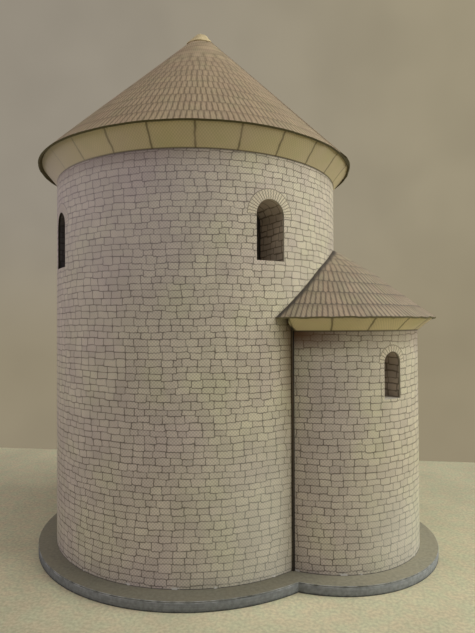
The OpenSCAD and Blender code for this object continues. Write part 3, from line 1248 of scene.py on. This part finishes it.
@dataclass(frozen=True)
class CornicePrint(SheetPrint):
    """The cream blocks printed on a leaning cornice."""

    blocks: int
    first: float
    pale: float = 1.0
    cream: Colour = (218, 202, 158)
    joint: Colour = (92, 78, 54)
    dot: float = 0.29
    mottle: ClassVar[Mottle] = Mottle(3.4, (0.5, 0.75, 0.0, 0.3), (206, 184, 158),
                                      (0.25, 0.5, 0.3, 0.0), (192, 188, 134))
    surface: ClassVar[Surface] = Surface(0.66)

    def paint(self, w: PrintWiring) -> Painted:
        """Wires the blocks, their tones and the inked edges.

        Args:
            w: The material's wiring.

        Returns:
            The colour and the grain.
        """
        body = self.body
        sheet = w.unrolled(self.body)
        up = sheet["Up"]
        step = math.radians(360 / self.blocks)
        share = w.over(w.minus(sheet["Bearing"], math.radians(self.first)), step)
        share = w.plus(share, w.centred(w.lumps(1.2), 0.07))
        off_joint = w.times(w.off_whole(share), step * body.radius)
        block = w.shuffle(w.calc("FLOOR", share))
        dots = w.use(DOTS, Along=sheet["Along"], Up=up, Pitch=self.dot)["Dots"]
        cream = w.stain(ink(*self.cream), w.card["Drift"], 0.5, (210, 196, 172))
        cream = w.stain(cream, w.card["Patch"], 0.35, (204, 192, 142))
        cream = w.shade(cream, block, 0.95, 1.04)
        cream = w.vary(cream, off_joint, 0.0, 0.7, 0.93, 1.0)
        cream = w.shade(cream, dots, 0.85, 1.03)
        printed = w.stain(cream, w.ease(off_joint, 0.07, 0.2, 1.0, 0.0), 0.68, self.joint)
        printed = self.mottle.over(w, printed)
        low = w.ease(up, body.wall_top + 0.04, body.wall_top + 0.16, 1.0, 0.0)
        printed = w.stain(printed, low, 0.7, (76, 64, 48))
        high = w.ease(up, body.eave_height - 0.45, body.eave_height - 0.1)
        printed = w.stain(printed, high, 0.35, (96, 82, 48))
        blot = w.times(w.ease(w.lumps(0.9), 0.66, 0.74),
                       w.ease(up, body.eave_height - 0.9, body.eave_height - 0.4))
        printed = w.stain(printed, blot, 0.5, (88, 74, 50))
        # Painted light: the blocks paler and greyer towards the -X side.
        pale = w.ease(w.x, body.centre - body.radius, body.centre + body.radius * 0.2, 0.95, 0.0)
        printed = w.stain(printed, pale, self.pale, (198, 188, 174))
        if body is APSE:
            printed = w.stain(printed, w.off_wall(NAVE, 0.45, 0.75), 0.8, (70, 60, 46))
        lean = math.atan2(body.eave_height - body.wall_top, body.eave_radius - body.radius)
        return self.on_sheet(w, math.pi - lean, printed, INK_EDGE), w.card["Grain"]


@dataclass(frozen=True)
class BoardFinish(Finish):
    """The base: grey board edges, a printed olive top and scuffs along the arris."""

    top: float
    face: Colour
    edge: Colour
    worn: Colour = (184, 186, 184)
    surface: ClassVar[Surface] = Surface(0.8, 0.2, 0.5)

    def paint(self, w: PrintWiring) -> Painted:
        """Wires the printed top, the edge and the wear between them.

        Args:
            w: The material's wiring.

        Returns:
            The colour and the grain.
        """
        _, _, rise = w.split(w.add("ShaderNodeNewGeometry").outputs["Normal"])
        flat = w.ease(rise, 0.75, 0.95)
        speck = w.lumps(0.5, 4.0)
        far_right = APSE.centre + APSE.radius
        face = w.speckle(ink(*self.face), speck, 0.86, 1.14)
        face = w.stain(face, w.card["Patch"], 0.5, (124, 118, 98))
        # Painted light on the top: brighter towards -X, and a painted sheen up to much brighter
        # towards +X.
        face = w.vary(face, w.x, -NAVE.radius, -NAVE.radius * 0.3, 1.4, 0.96)
        face = w.vary(face, w.x, NAVE.radius * 0.5, far_right, 1.0, 1.8)
        colour = w.blend(flat, self.cut(w, speck), face)
        scuff = w.lumps(1.6, 4.0)
        worn = w.times(w.ease(scuff, 0.56, 0.68), w.ease(w.z, self.top - 0.5, self.top - 0.1),
                       w.minus(1.0, flat))
        arris = w.times(w.ease(rise, 0.05, 0.3), w.ease(rise, 0.85, 0.98, 1.0, 0.0),
                        w.ease(scuff, 0.4, 0.6))
        return w.stain(colour, w.most(worn, arris), 0.6, self.worn), speck

    def cut(self, w: PrintWiring, speck: object) -> object:
        """Wires the board's cut edge: its layers, its painted shade and contact shadow at the foot,
        its painted shade and light from side to side, and its nicks.

        Args:
            w: The material's wiring.
            speck: The fine noise.

        Returns:
            The edge's colour.
        """
        layers = w.clouds(w.join(w.times(w.x, 0.12), w.times(w.y, 0.12), w.times(w.z, 5.0)), 0.9, 3.0)
        edge = w.speckle(ink(*self.edge), layers, 0.92, 1.07)
        edge = w.speckle(edge, speck, 0.84, 1.14)
        # Painted shade: the edge darker towards its bottom, with a painted contact shadow along the
        # foot.
        edge = w.vary(edge, w.z, 0.0, self.top * 0.5, 0.82, 1.0)
        edge = w.vary(edge, w.plus(w.z, w.times(speck, 0.2)), 0.12, 0.42, 0.28, 1.0)
        nick = w.times(w.ease(w.lumps(1.1, 3.0), 0.52, 0.62),
                       w.ease(w.z, self.top - 0.22, self.top - 0.1))
        edge = w.dim(edge, nick, 0.5)
        # Painted shade towards -X and painted light towards +X.
        edge = w.vary(edge, w.x, -NAVE.radius, -NAVE.radius * 0.1, 0.72, 1.0)
        return w.vary(edge, w.x, NAVE.radius * 0.7, APSE.centre + APSE.radius, 1.0, 1.35)


@dataclass(frozen=True)
class PlainCard(Finish):
    """A small plain or inked piece of card."""

    colour: Colour
    spread: float = 0.1

    def paint(self, w: PrintWiring) -> Painted:
        """Wires the plain colour with the card's own unevenness."""
        colour = w.shade(ink(*self.colour), w.card["Patch"], 1 - self.spread, 1 + self.spread)
        return w.speckle(colour, w.card["Grain"], 0.95, 1.05), w.card["Grain"]


@dataclass(frozen=True)
class ShadedJointTab(Finish):
    """The folded tabs in the joint: black in the gap and brown where they show beside it, both
    painted shade.
    """

    black: Colour = (34, 32, 30)
    seam_shade: Colour = (84, 72, 54)

    def paint(self, w: PrintWiring) -> Painted:
        """Wires the black painted shade in the gap and the brown painted shade beside it, which is
        stronger higher up.

        Args:
            w: The material's wiring.

        Returns:
            The colour and the grain.
        """
        # Painted shade: black where the tab shows in the gap, brown where it shows beside the apse
        # wall.
        beside = w.minus(1.0, w.off_wall(APSE, 0.06, 0.12))
        seam_shade = w.times(beside, w.ease(w.z, APSE.foot + 6.0, APSE.wall_top - 8.0, 0.25, 0.9))
        colour = w.blend(seam_shade, ink(*self.black), ink(*self.seam_shade))
        return w.shade(colour, w.card["Patch"], 0.9, 1.1), w.card["Grain"]


@dataclass(frozen=True)
class FloorFinish(Finish):
    """The pale floor that the model stands on."""

    warm: Colour = (214, 203, 168)
    cool: Colour = (205, 204, 168)
    surface: ClassVar[Surface] = Surface(0.9, 0.1, 0.5)

    def paint(self, w: PrintWiring) -> Painted:
        """Wires the grain, the patches, painted light to the left and painted shade in front.

        Args:
            w: The material's wiring.

        Returns:
            The colour and the grain.
        """
        grain = w.lumps(0.45, 5.0)
        bloom = w.ease(w.lumps(2.2, 3.0), 0.3, 0.7)
        colour = w.blend(bloom, ink(*self.warm), ink(*self.cool))
        colour = w.speckle(colour, grain, 0.86, 1.1)
        colour = w.vary(colour, w.lumps(9.0, 3.0), 0.3, 0.7, 0.95, 1.04)
        # Painted light towards the left and painted shade in front.
        colour = w.vary(colour, w.x, -55.0, -15.0, 1.2, 1.0)
        return w.vary(colour, w.y, -46.0, -18.0, 0.78, 1.0), grain


def dress(piece: bpy.types.Object, material: bpy.types.Material, slot: str,
          *nodes: str) -> None:
    """Gives a new piece its finish, hangs it under the root, and hides the CAD nodes it stands for.

    Args:
        piece: The new piece.
        material: Its finish.
        slot: Not used.
        *nodes: The CAD nodes that it stands for.
    """
    piece.data.materials.clear()
    piece.data.materials.append(material)
    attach(piece, ROOT)
    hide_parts(*nodes)
    log.info("%s: %d faces, stands for %s", piece.name, len(piece.data.polygons), ", ".join(nodes))


def paint(node: str, material: bpy.types.Material) -> None:
    """Gives a CAD node that keeps its shape a better finish.

    Args:
        node: Name of the CAD node.
        material: The finish.
    """
    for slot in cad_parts[node].material_slots:
        slot.material = material
    log.info("%s: CAD shape kept, finish %s", node, material.name)


# ---------------------------------------------------------------- sub-assemblies


@dataclass
class RoundBody:
    """One drum with its cornice, roof and windows."""

    body: Round
    masonry: MasonryPrint
    tiles: TilePrint
    cornice: CornicePrint
    columns: int
    roof_columns: int = 360
    wall_rows: int = 24
    cornice_rows: int = 5
    roof_rows: int = 26
    seam_gap: float = 0.1
    cutter_depth: float = 3.0
    unevenness: float = 0.045
    sag: float = 0.05
    inset: float = 0.02
    short_side: float = 0.0
    rough_cut: float = 1.0

    def wall(self) -> bpy.types.Object:
        """Rolls the wall sheet and cuts its windows.

        Returns:
            The sheet.
        """
        body = self.body
        piece = Bench.flared_tube(body.name + "_wall_sheet", (body.radius, body.foot),
                                  (body.radius, body.wall_top), body.centre, self.columns,
                                  self.wall_rows)

        def roll(point: Vector) -> Vector:
            """Lets the rolled sheet stand very slightly out of round.

            Args:
                point: A point of the sheet, in millimetres.

            Returns:
                Its new place.
            """
            turn = turn_of(point, body.centre)
            out = self.unevenness * flutter(turn, point.z / 23.0, 2.2) - self.unevenness
            scale = (body.radius + out) / body.radius
            return Vector((body.centre + (point.x - body.centre) * scale, point.y * scale, point.z))

        Bench.shift(piece, roll)
        Bench.modify(piece, "SOLIDIFY", thickness=CARD * MM, offset=-1.0)
        for bearing in body.window_bearings:
            cutter = Bench.arch_cutter(body.window_half, body.window_sill, body.window_crown)
            turn = math.radians(bearing)
            inner = body.radius - self.cutter_depth
            cutter.location = ((body.centre + inner * math.cos(turn)) * MM,
                               inner * math.sin(turn) * MM, 0)
            cutter.rotation_euler = (0, 0, turn)
            Bench.cut(piece, cutter)
        self.trim_wall(piece)
        Bench.shade(piece)
        lay_flat(piece, body, Bake.DRUM, 3 if body is NAVE else 2)
        return piece

    def trim_wall(self, piece: bpy.types.Object) -> None:
        """Cuts the hairline where the sheet's two ends meet.

        Args:
            piece: The wall sheet.
        """
        Bench.clear()
        body = self.body
        bpy.ops.mesh.primitive_cube_add(size=1, location=(body.radius * MM, 0,
                                                          (body.foot + body.wall_top) / 2 * MM))
        slit = bpy.context.object
        slit.scale = (4 * MM, self.seam_gap * MM, (body.wall_top - body.foot + 2) * MM)
        Bench.settle(slit, "seam_slit")
        Bench.cut(piece, slit)

    def soffit(self) -> bpy.types.Object:
        """Rolls the leaning cornice strip.

        Returns:
            The strip.
        """
        body = self.body
        low = (body.radius - self.inset, body.wall_top)
        high = (body.eave_radius - self.inset, body.eave_height - self.inset)
        piece = Bench.flared_tube(body.name + "_cornice_strip", low, high, body.centre,
                                  self.roof_columns, self.cornice_rows)
        self.trim_soffit(piece)

        def lean(point: Vector) -> Vector:
            """Lets the strip's faces wave a little between its glued edges.

            Args:
                point: A point of the strip, in millimetres.

            Returns:
                Its new place.
            """
            turn = turn_of(point, body.centre)
            share = (point.z - body.wall_top) / (body.eave_height - body.wall_top)
            out = -self.sag * math.sin(math.pi * share) * (1 + flutter(turn, 3.0, 5.0))
            return point + outward(point, body.centre) * out

        Bench.shift(piece, lean)
        Bench.modify(piece, "SOLIDIFY", thickness=CARD * 0.9 * MM, offset=-1.0)
        Bench.shade(piece)
        return piece

    def trim_soffit(self, piece: bpy.types.Object) -> None:
        """Leaves the strip whole; the apse's stops at the nave."""

    def roof(self) -> bpy.types.Object:
        """Rolls the roof cone with its uneven eave.

        Returns:
            The sheet.
        """
        body = self.body
        pitch = body.roof_pitch
        slope = (math.cos(pitch), math.sin(pitch))
        low = (body.roof_reach, body.roof_low + CARD * math.cos(pitch))
        top_radius = self.roof_top()
        high = (top_radius, low[1] + (low[0] - top_radius) * math.tan(pitch))
        piece = Bench.flared_tube(body.name + "_roof_sheet", low, high, body.centre,
                                  self.roof_columns, self.roof_rows)
        height = high[1] - low[1]
        Bench.shift(piece, self.bend)

        def wave(point: Vector) -> Vector:
            """Makes the cut edge uneven and the cone a little wavy.

            Args:
                point: A point of the cone, in millimetres.

            Returns:
                Its new place.
            """
            turn = turn_of(point, body.centre)
            share = 1 - (point.z - low[1]) / height
            flat = outward(point, body.centre)
            along = Vector((-flat.x * slope[0], -flat.y * slope[0], slope[1]))
            near = smooth((share - 0.86) / 0.14)
            ragged = 0.07 * (1 + flutter(turn, 7.0, 9.0)) + 0.03 * (1 + flutter(turn, 1.0, 60.0))
            ragged *= self.rough_cut
            ragged += self.short_side * smooth(math.cos(turn + math.radians(30)))
            sag = -self.sag * (1 + flutter(turn, share * 2.0, 3.0)) * share
            out = flat * slope[1] + Vector((0, 0, slope[0]))
            return point + along * ragged * near + out * sag

        Bench.shift(piece, wave)
        self.lap(piece)
        Bench.modify(piece, "SOLIDIFY", thickness=CARD * MM, offset=-1.0)
        self.trim_roof(piece)
        Bench.shade(piece)
        lay_flat(piece, body, Bake.CONE, 1)
        return piece

    def roof_top(self) -> float:
        """Radius at which the roof sheet ends."""
        return 0.4

    def bend(self, point: Vector) -> Vector:
        """Leaves a point of the straight cone where it is; each roof bends its own way."""
        return point

    def lap(self, piece: bpy.types.Object) -> None:
        """Leaves the cone without a lap; the nave has one."""

    def trim_roof(self, piece: bpy.types.Object) -> None:
        """Leaves the cone whole; the apse trims it against the nave."""

    def windows(self, words: tuple[str, ...], reveal: bpy.types.Material,
                sill: bpy.types.Material, back: bpy.types.Material) -> None:
        """Finishes the linings, sills and backs, whose CAD shapes stay.

        Args:
            words: The sides that the windows face, as the nodes name them.
            reveal: Finish of the linings.
            sill: Finish of the sills.
            back: Finish of the dark backs.
        """
        for word in words:
            for part, material in (("lining", reveal), ("sill", sill), ("back", back)):
                paint(f"{self.body.name}_window_{part}_{word}", material)

    def build(self) -> None:
        """Makes and dresses the wall, cornice and roof."""
        name = self.body.name
        dress(self.wall(), self.masonry.build(), f"{name}_masonry_print", f"{name}_wall")
        dress(self.soffit(), self.cornice.build(), "cornice_print", f"{name}_cornice")
        dress(self.roof(), self.tiles.build(), f"{name}_roof_print", f"{name}_roof")


@dataclass
class Nave(RoundBody):
    """The tall drum, whose roof sheet overlaps itself."""

    lap_bearing: float = -10.0
    lap_width: float = 3.2
    lap_ease: float = 5.0
    lap_raise: float = 0.1
    tip_radius: float = 1.75
    lean: float = 0.6
    sink: float = 0.08
    tip_height: float = reach("nave_roof_tip", 2)

    def roof_top(self) -> float:
        """Radius at which the roof sheet ends under the tip."""
        return self.tip_radius

    def lean_at(self, height: float) -> float:
        """How far the roof's axis has moved towards the apse at a height."""
        low = self.body.roof_low
        return self.lean * smooth((height - low) / (self.tip_height - low))

    def bend(self, point: Vector) -> Vector:
        """Lets the cone lean a little towards the apse, most at its point."""
        move = self.lean_at(point.z)
        return point + Vector((move, 0, -self.sink * move / self.lean))

    def lap(self, piece: bpy.types.Object) -> None:
        """Splits the cone at its seam and lays one end over the other.

        Args:
            piece: The cone.
        """
        start = math.radians(self.lap_bearing)
        full = self.lap_width / self.body.roof_reach
        fade = self.lap_ease / self.body.roof_reach
        slope = (math.cos(self.body.roof_pitch), math.sin(self.body.roof_pitch))

        def past_seam(point: Vector) -> float:
            """Angle from the seam, from 0 to a full turn."""
            return (turn_of(point, self.lean_at(point.z * TO_MM) * MM) - start) % FULL_TURN

        def on_seam(edge: bpy.types.MeshEdge) -> bool:
            """True for an edge that lies along the seam."""
            turns = [past_seam(piece.data.vertices[v].co) for v in edge.vertices]
            return all(min(turn, FULL_TURN - turn) < 0.004 for turn in turns)

        Bench.select(piece, "EDGE", on_seam)
        bpy.ops.mesh.edge_split(type="EDGE")
        Bench.done()
        upper = {v for face in piece.data.polygons if past_seam(face.center) < math.pi
                 for v in face.vertices}
        Bench.select(piece, "FACE", lambda face: past_seam(face.center) < full)
        bpy.ops.mesh.duplicate()
        Bench.done()
        for index in upper:
            vertex = piece.data.vertices[index]
            turn = past_seam(vertex.co)
            turn = 0.0 if turn > 1.5 * math.pi else turn
            near_eave = smooth((self.tip_height - vertex.co.z * TO_MM) / self.body.roof_rise)
            raised = self.lap_raise + (CARD - 0.09) * near_eave
            raised *= 1 - smooth((turn - full) / fade)
            flat = outward(vertex.co, 0.0)
            vertex.co += (flat * slope[1] + Vector((0, 0, slope[0]))) * raised * MM
        piece.data.update()
        Bench.select(piece, "VERT", lambda vertex: True)
        bpy.ops.mesh.remove_doubles(threshold=0.002 * MM)
        Bench.done()

    def tip(self) -> bpy.types.Object:
        """Shapes the small cream tip from a capped cone, drawn down a little in front.

        Returns:
            The tip.
        """
        low = reach("nave_roof_tip", 2, top=False)
        high = reach("nave_roof_tip", 2)
        Bench.clear()
        bpy.ops.mesh.primitive_cone_add(vertices=48, radius1=(self.tip_radius + 0.42) * MM,
                                        radius2=0.95 * MM, depth=(high - low) * MM,
                                        location=(0, 0, (low + high) / 2 * MM))
        piece = Bench.settle(bpy.context.object, "nave_roof_tip_cap")
        Bench.modify(piece, "BEVEL", width=0.2 * MM, segments=4, limit_method="ANGLE",
                     angle_limit=math.radians(30))

        def crumple(point: Vector) -> Vector:
            """Dents the small cap as if pinched.

            Args:
                point: A point of the cap, in millimetres.

            Returns:
                Its new place.
            """
            lump = noise.noise(point * 1.3, noise_basis="PERLIN_ORIGINAL")
            share = (point.z - low) / (high - low)
            front = smooth(-point.y / self.tip_radius) * (1 - share)
            grow = (1 - 0.08 * abs(lump)) * (1 + 0.5 * front)
            return Vector((point.x * grow + self.lean + 0.1 * share, point.y * grow,
                           point.z - self.sink - 0.16 * share * (1 + lump) - 0.9 * front))

        Bench.shift(piece, crumple)
        Bench.shade(piece, 60)
        return piece


@dataclass
class Apse(RoundBody):
    """The lower drum, trimmed to lie against the nave."""

    wall_gap: float = 0.22
    roof_gap: float = 0.04
    ride_up: float = 0.6
    ride_reach: float = 5.0
    settle: float = 0.3

    def bend(self, point: Vector) -> Vector:
        """Eases the slope off above its middle and lets it ride up where it meets the nave.

        Args:
            point: A point of the straight cone, in millimetres.

        Returns:
            Its new place.
        """
        body = self.body
        radius = math.hypot(point.x - body.centre, point.y)
        ease_off = math.tan(body.roof_pitch) - math.tan(body.upper_pitch)
        drop = max(0.0, body.eave_radius / 2 - radius) * ease_off
        off_nave = max(0.0, math.hypot(point.x, point.y) - NAVE.radius)
        near = math.exp(-off_nave / self.ride_reach)
        inward = (body.eave_radius - radius) / (body.eave_radius - 1)
        hump = math.sin(math.pi * min(1.0, max(0.0, inward)))
        rise = hump * (self.ride_up * near - self.settle * (1 - near))
        return point + Vector((0, 0, rise - drop))

    def nave_bore(self, gap: float) -> bpy.types.Object:
        """Makes the cylinder that trims a sheet against the nave.

        Args:
            gap: Space left between the sheet and the nave's face, in millimetres.

        Returns:
            The cutter.
        """
        Bench.clear()
        bpy.ops.mesh.primitive_cylinder_add(vertices=360, radius=(NAVE.radius + gap) * MM,
                                            depth=120 * MM, location=(0, 0, 40 * MM))
        return Bench.settle(bpy.context.object, "nave_bore")

    def trim_wall(self, piece: bpy.types.Object) -> None:
        """Cuts the wall sheet's ends just short of the nave."""
        Bench.cut(piece, self.nave_bore(self.wall_gap))

    def trim_soffit(self, piece: bpy.types.Object) -> None:
        """Cuts the cornice strip square at both ends, just short of the nave.

        Args:
            piece: The strip.
        """
        body = self.body
        gap = NAVE.radius + self.wall_gap
        share = (gap ** 2 - body.centre ** 2 - body.radius ** 2) / (2 * body.centre * body.radius)
        end = math.acos(share)

        def past_end(face: bpy.types.MeshPolygon) -> bool:
            """True for a face beyond the cut."""
            return abs(turn_of(face.center * TO_MM, body.centre)) > end

        Bench.select(piece, "FACE", past_end)
        bpy.ops.mesh.delete(type="FACE")
        Bench.done()

        def square_off(point: Vector) -> Vector:
            """Brings the last row of points exactly onto the cut.

            Args:
                point: A point of the strip, in millimetres.

            Returns:
                Its new place.
            """
            turn = turn_of(point, body.centre)
            if abs(turn) < end - math.radians(0.6):
                return point
            out = math.hypot(point.x - body.centre, point.y)
            return Vector((body.centre + out * math.cos(end),
                           math.copysign(out * math.sin(end), turn), point.z))

        Bench.shift(piece, square_off)

    def trim_roof(self, piece: bpy.types.Object) -> None:
        """Cuts the cone to lie against the nave."""
        Bench.cut(piece, self.nave_bore(self.roof_gap))


@dataclass
class Base:
    """The two-lobed board and its printed cover."""

    margin: float = 2.8
    arris: float = 0.14

    def slab(self, name: str, low: float, high: float, arris: float) -> bpy.types.Object:
        """Cuts one two-lobed layer.

        Args:
            name: Name of the new piece.
            low: Height of its underside, in millimetres.
            high: Height of its top, in millimetres.
            arris: Size of the rounding along its edges, in millimetres.

        Returns:
            The layer.
        """
        lobes = []
        for body in (NAVE, APSE):
            Bench.clear()
            bpy.ops.mesh.primitive_cylinder_add(
                vertices=240, radius=(body.radius + self.margin) * MM, depth=(high - low) * MM,
                location=(body.centre * MM, 0, (low + high) / 2 * MM))
            lobes.append(Bench.settle(bpy.context.object, name))
        Bench.cut(lobes[0], lobes[1], "UNION")
        piece = lobes[0]
        Bench.pick(piece)
        bpy.ops.object.mode_set(mode="EDIT")
        bpy.ops.mesh.select_all(action="SELECT")
        bpy.ops.mesh.dissolve_limited(angle_limit=math.radians(0.2))
        bpy.ops.object.mode_set(mode="OBJECT")
        Bench.modify(piece, "BEVEL", width=arris * MM, segments=3, limit_method="ANGLE",
                     angle_limit=math.radians(60))
        Bench.shade(piece, 40)
        return piece

    def build(self) -> None:
        """Makes and dresses both layers."""
        board_top = reach("base_board", 2)
        cover_top = reach("base_cover", 2)
        board = BoardFinish("grey board", cover_top, (112, 112, 92), (126, 129, 128)).build()
        cover = BoardFinish("printed base cover", cover_top, (118, 115, 98), (122, 124, 120)).build()
        dress(self.slab("base_board_slab", 0.0, board_top, 0.08), board, "base_board", "base_board")
        dress(self.slab("base_cover_sheet", board_top, cover_top, 0.07), cover, "base_cover",
              "base_cover")


@dataclass(frozen=True)
class Lamp:
    """One square area light that points at the model: place and size in millimetres, watts."""

    name: str
    place: Triple
    size: float
    power: float
    tint: Colour
    aim: Triple = (5, 0, 40)

    def hang(self) -> None:
        """Hangs the light."""
        data = bpy.data.lights.new(self.name, "AREA")
        data.size = self.size * MM
        data.energy = self.power
        data.color = self.tint
        lamp = bpy.data.objects.new(self.name, data)
        bpy.context.scene.collection.objects.link(lamp)
        lamp.location = Vector(self.place) * MM
        aim = Vector(self.aim) * MM - lamp.location
        lamp.rotation_euler = aim.to_track_quat("-Z", "Y").to_euler()


@dataclass(frozen=True)
class Studio:
    """Floor, light and camera."""

    camera_place: Triple = (29.72, -88.10, 37.56)
    heading: float = -0.247
    tilt: float = 0.015
    roll: float = 0.004
    lens: float = 28.24
    sensor: float = 36.0
    near_clip: float = 5.0
    floor_width: float = 300.0
    floor_back: float = 50.0
    floor_turn: float = 6.5
    dim_room: Colour = (0.100, 0.093, 0.095)
    lamps: tuple[Lamp, ...] = (
        Lamp("window light", (296, 0, 210), 290, 1.06, (1.0, 1.0, 0.98)),
        Lamp("left light", (-259, -155, 158), 240, 0.36, (1.0, 0.93, 1.0)),
        Lamp("high light", (60, -150, 320), 200, 0.12, (1.0, 0.96, 0.98)),
    )

    def build(self) -> None:
        """Sets up everything round the model."""
        self.floor()
        self.room()
        for lamp in self.lamps:
            lamp.hang()
        self.camera()
        bpy.context.scene.view_settings.view_transform = "Standard"

    def floor(self) -> None:
        """Lays the pale floor."""
        Bench.clear()
        bpy.ops.mesh.primitive_plane_add(size=self.floor_width * MM,
                                         rotation=(0, 0, math.radians(self.floor_turn)))
        piece = Bench.settle(bpy.context.object, "floor")
        shift = Vector((0, self.floor_back - self.floor_width / 2, 0))
        Bench.shift(piece, lambda point: point + shift)
        piece.data.materials.append(FloorFinish("pale floor").build())

    def room(self) -> None:
        """Lights the room dimly and shows the camera a paper wall behind the floor."""
        world = bpy.data.worlds.new("room")
        bpy.context.scene.world = world
        world.use_nodes = True
        w = Wiring(world.node_tree)
        dim = world.node_tree.nodes["Background"]
        dim.inputs["Color"].default_value = (*self.dim_room, 1.0)
        ahead = w.add("ShaderNodeTexCoord").outputs["Generated"]
        across, _, height = w.split(ahead)
        paper = w.blend(w.ease(across, -0.55, 0.25), ink(149, 141, 127), ink(155, 145, 121))
        paper = w.blend(w.ease(height, -0.1, 0.25, 0.8, 0.0), paper, ink(147, 136, 111))
        paper = w.vary(paper, w.clouds(ahead, 0.16), 0.25, 0.75, 0.95, 1.06)
        wall = w.run("ShaderNodeBackground", {"Color": paper})
        seen = w.add("ShaderNodeLightPath").outputs["Is Camera Ray"]
        mix = w.run("ShaderNodeMixShader", {0: seen, 1: dim.outputs[0], 2: wall})
        w.feed(world.node_tree.nodes["World Output"].inputs["Surface"], mix)

    def camera(self) -> None:
        """Puts the camera close in front, a little to the right, as wide as a compact's."""
        data = bpy.data.cameras.new("camera")
        data.lens = self.lens
        data.sensor_width = self.sensor
        data.clip_start = self.near_clip * MM
        camera = bpy.data.objects.new("camera", data)
        bpy.context.scene.collection.objects.link(camera)
        camera.location = Vector(self.camera_place) * MM
        ahead = Vector((math.sin(self.heading) * math.cos(self.tilt),
                        math.cos(self.heading) * math.cos(self.tilt), math.sin(self.tilt)))
        camera.rotation_euler = ahead.to_track_quat("-Z", "Y").to_euler()
        camera.rotation_euler.rotate_axis("Z", -self.roll)
        bpy.context.scene.camera = camera


def main() -> None:
    """Builds every sub-assembly in order."""
    logging.basicConfig(level=logging.INFO, format="%(name)s: %(message)s")
    Studio().build()
    Base().build()
    nave = Nave(
        body=NAVE,
        masonry=MasonryPrint("nave stone print", NAVE, turn=-1.0, fold=90.0, ring=1.45,
                             ring_stones=22.0, course=0.96, length=1.75, seed=1.0),
        tiles=TilePrint("nave tile print", NAVE, row=3.4, width=0.80, narrowing=0.02,
                        trimmed=False),
        cornice=CornicePrint("nave cornice print", NAVE, blocks=26, first=-3.0),
        columns=256,
        short_side=0.4,
    )
    nave.build()
    tip = PlainCard("cream tip", (208, 190, 146)).build()
    dress(nave.tip(), tip, "tip_print", "nave_roof_tip")
    apse = Apse(
        body=APSE,
        masonry=MasonryPrint("apse stone print", APSE, turn=1.0, fold=0.0, ring=0.95,
                             ring_stones=13.0, course=1.0, length=1.8, seed=6.0,
                             cornice_shade=1.0, left_light_tint=0.0, low_left_shade=0.0, right_light=0.12,
                             cornice_shade_reach=4.2, mauve=0.06),
        tiles=TilePrint("apse tile print", APSE, row=3.25, width=0.73, narrowing=0.02,
                        trimmed=True, warm=(174, 158, 132), cool=(167, 156, 130),
                        line=(82, 70, 60), faint=0.4, strong=0.58, bed=0.44, left_shade=0.5,
                        edge_ink=(124, 117, 90)),
        cornice=CornicePrint("apse cornice print", APSE, blocks=18, first=-1.5, pale=0.3,
                             cream=(238, 222, 176)),
        columns=192,
        rough_cut=2.0,
    )
    apse.build()
    sill = PlainCard("light sill card", (206, 200, 182)).build()
    back = PlainCard("dark window back", (70, 66, 60)).build()
    lit = RevealPrint("nave reveal print", NAVE).build()
    # The western windows' linings take a darker copy of the print: painted shade.
    dim = RevealPrint("dim nave reveal print", NAVE, (112, 106, 110), (74, 70, 72)).build()
    nave.windows(("southeast", "northeast"), lit, sill, back)
    nave.windows(("southwest", "northwest"), dim, sill, back)
    apse.windows(("south", "north"), RevealPrint("apse reveal print", APSE).build(), sill, back)
    dark = ShadedJointTab("painted_shade card").build()
    for word in ("south", "north"):
        paint(f"apse_joint_tab_{word}", dark)
    paint("nave_joint_strip", PlainCard("plain card", (206, 202, 190)).build())


if __name__ == "__main__":
    main()
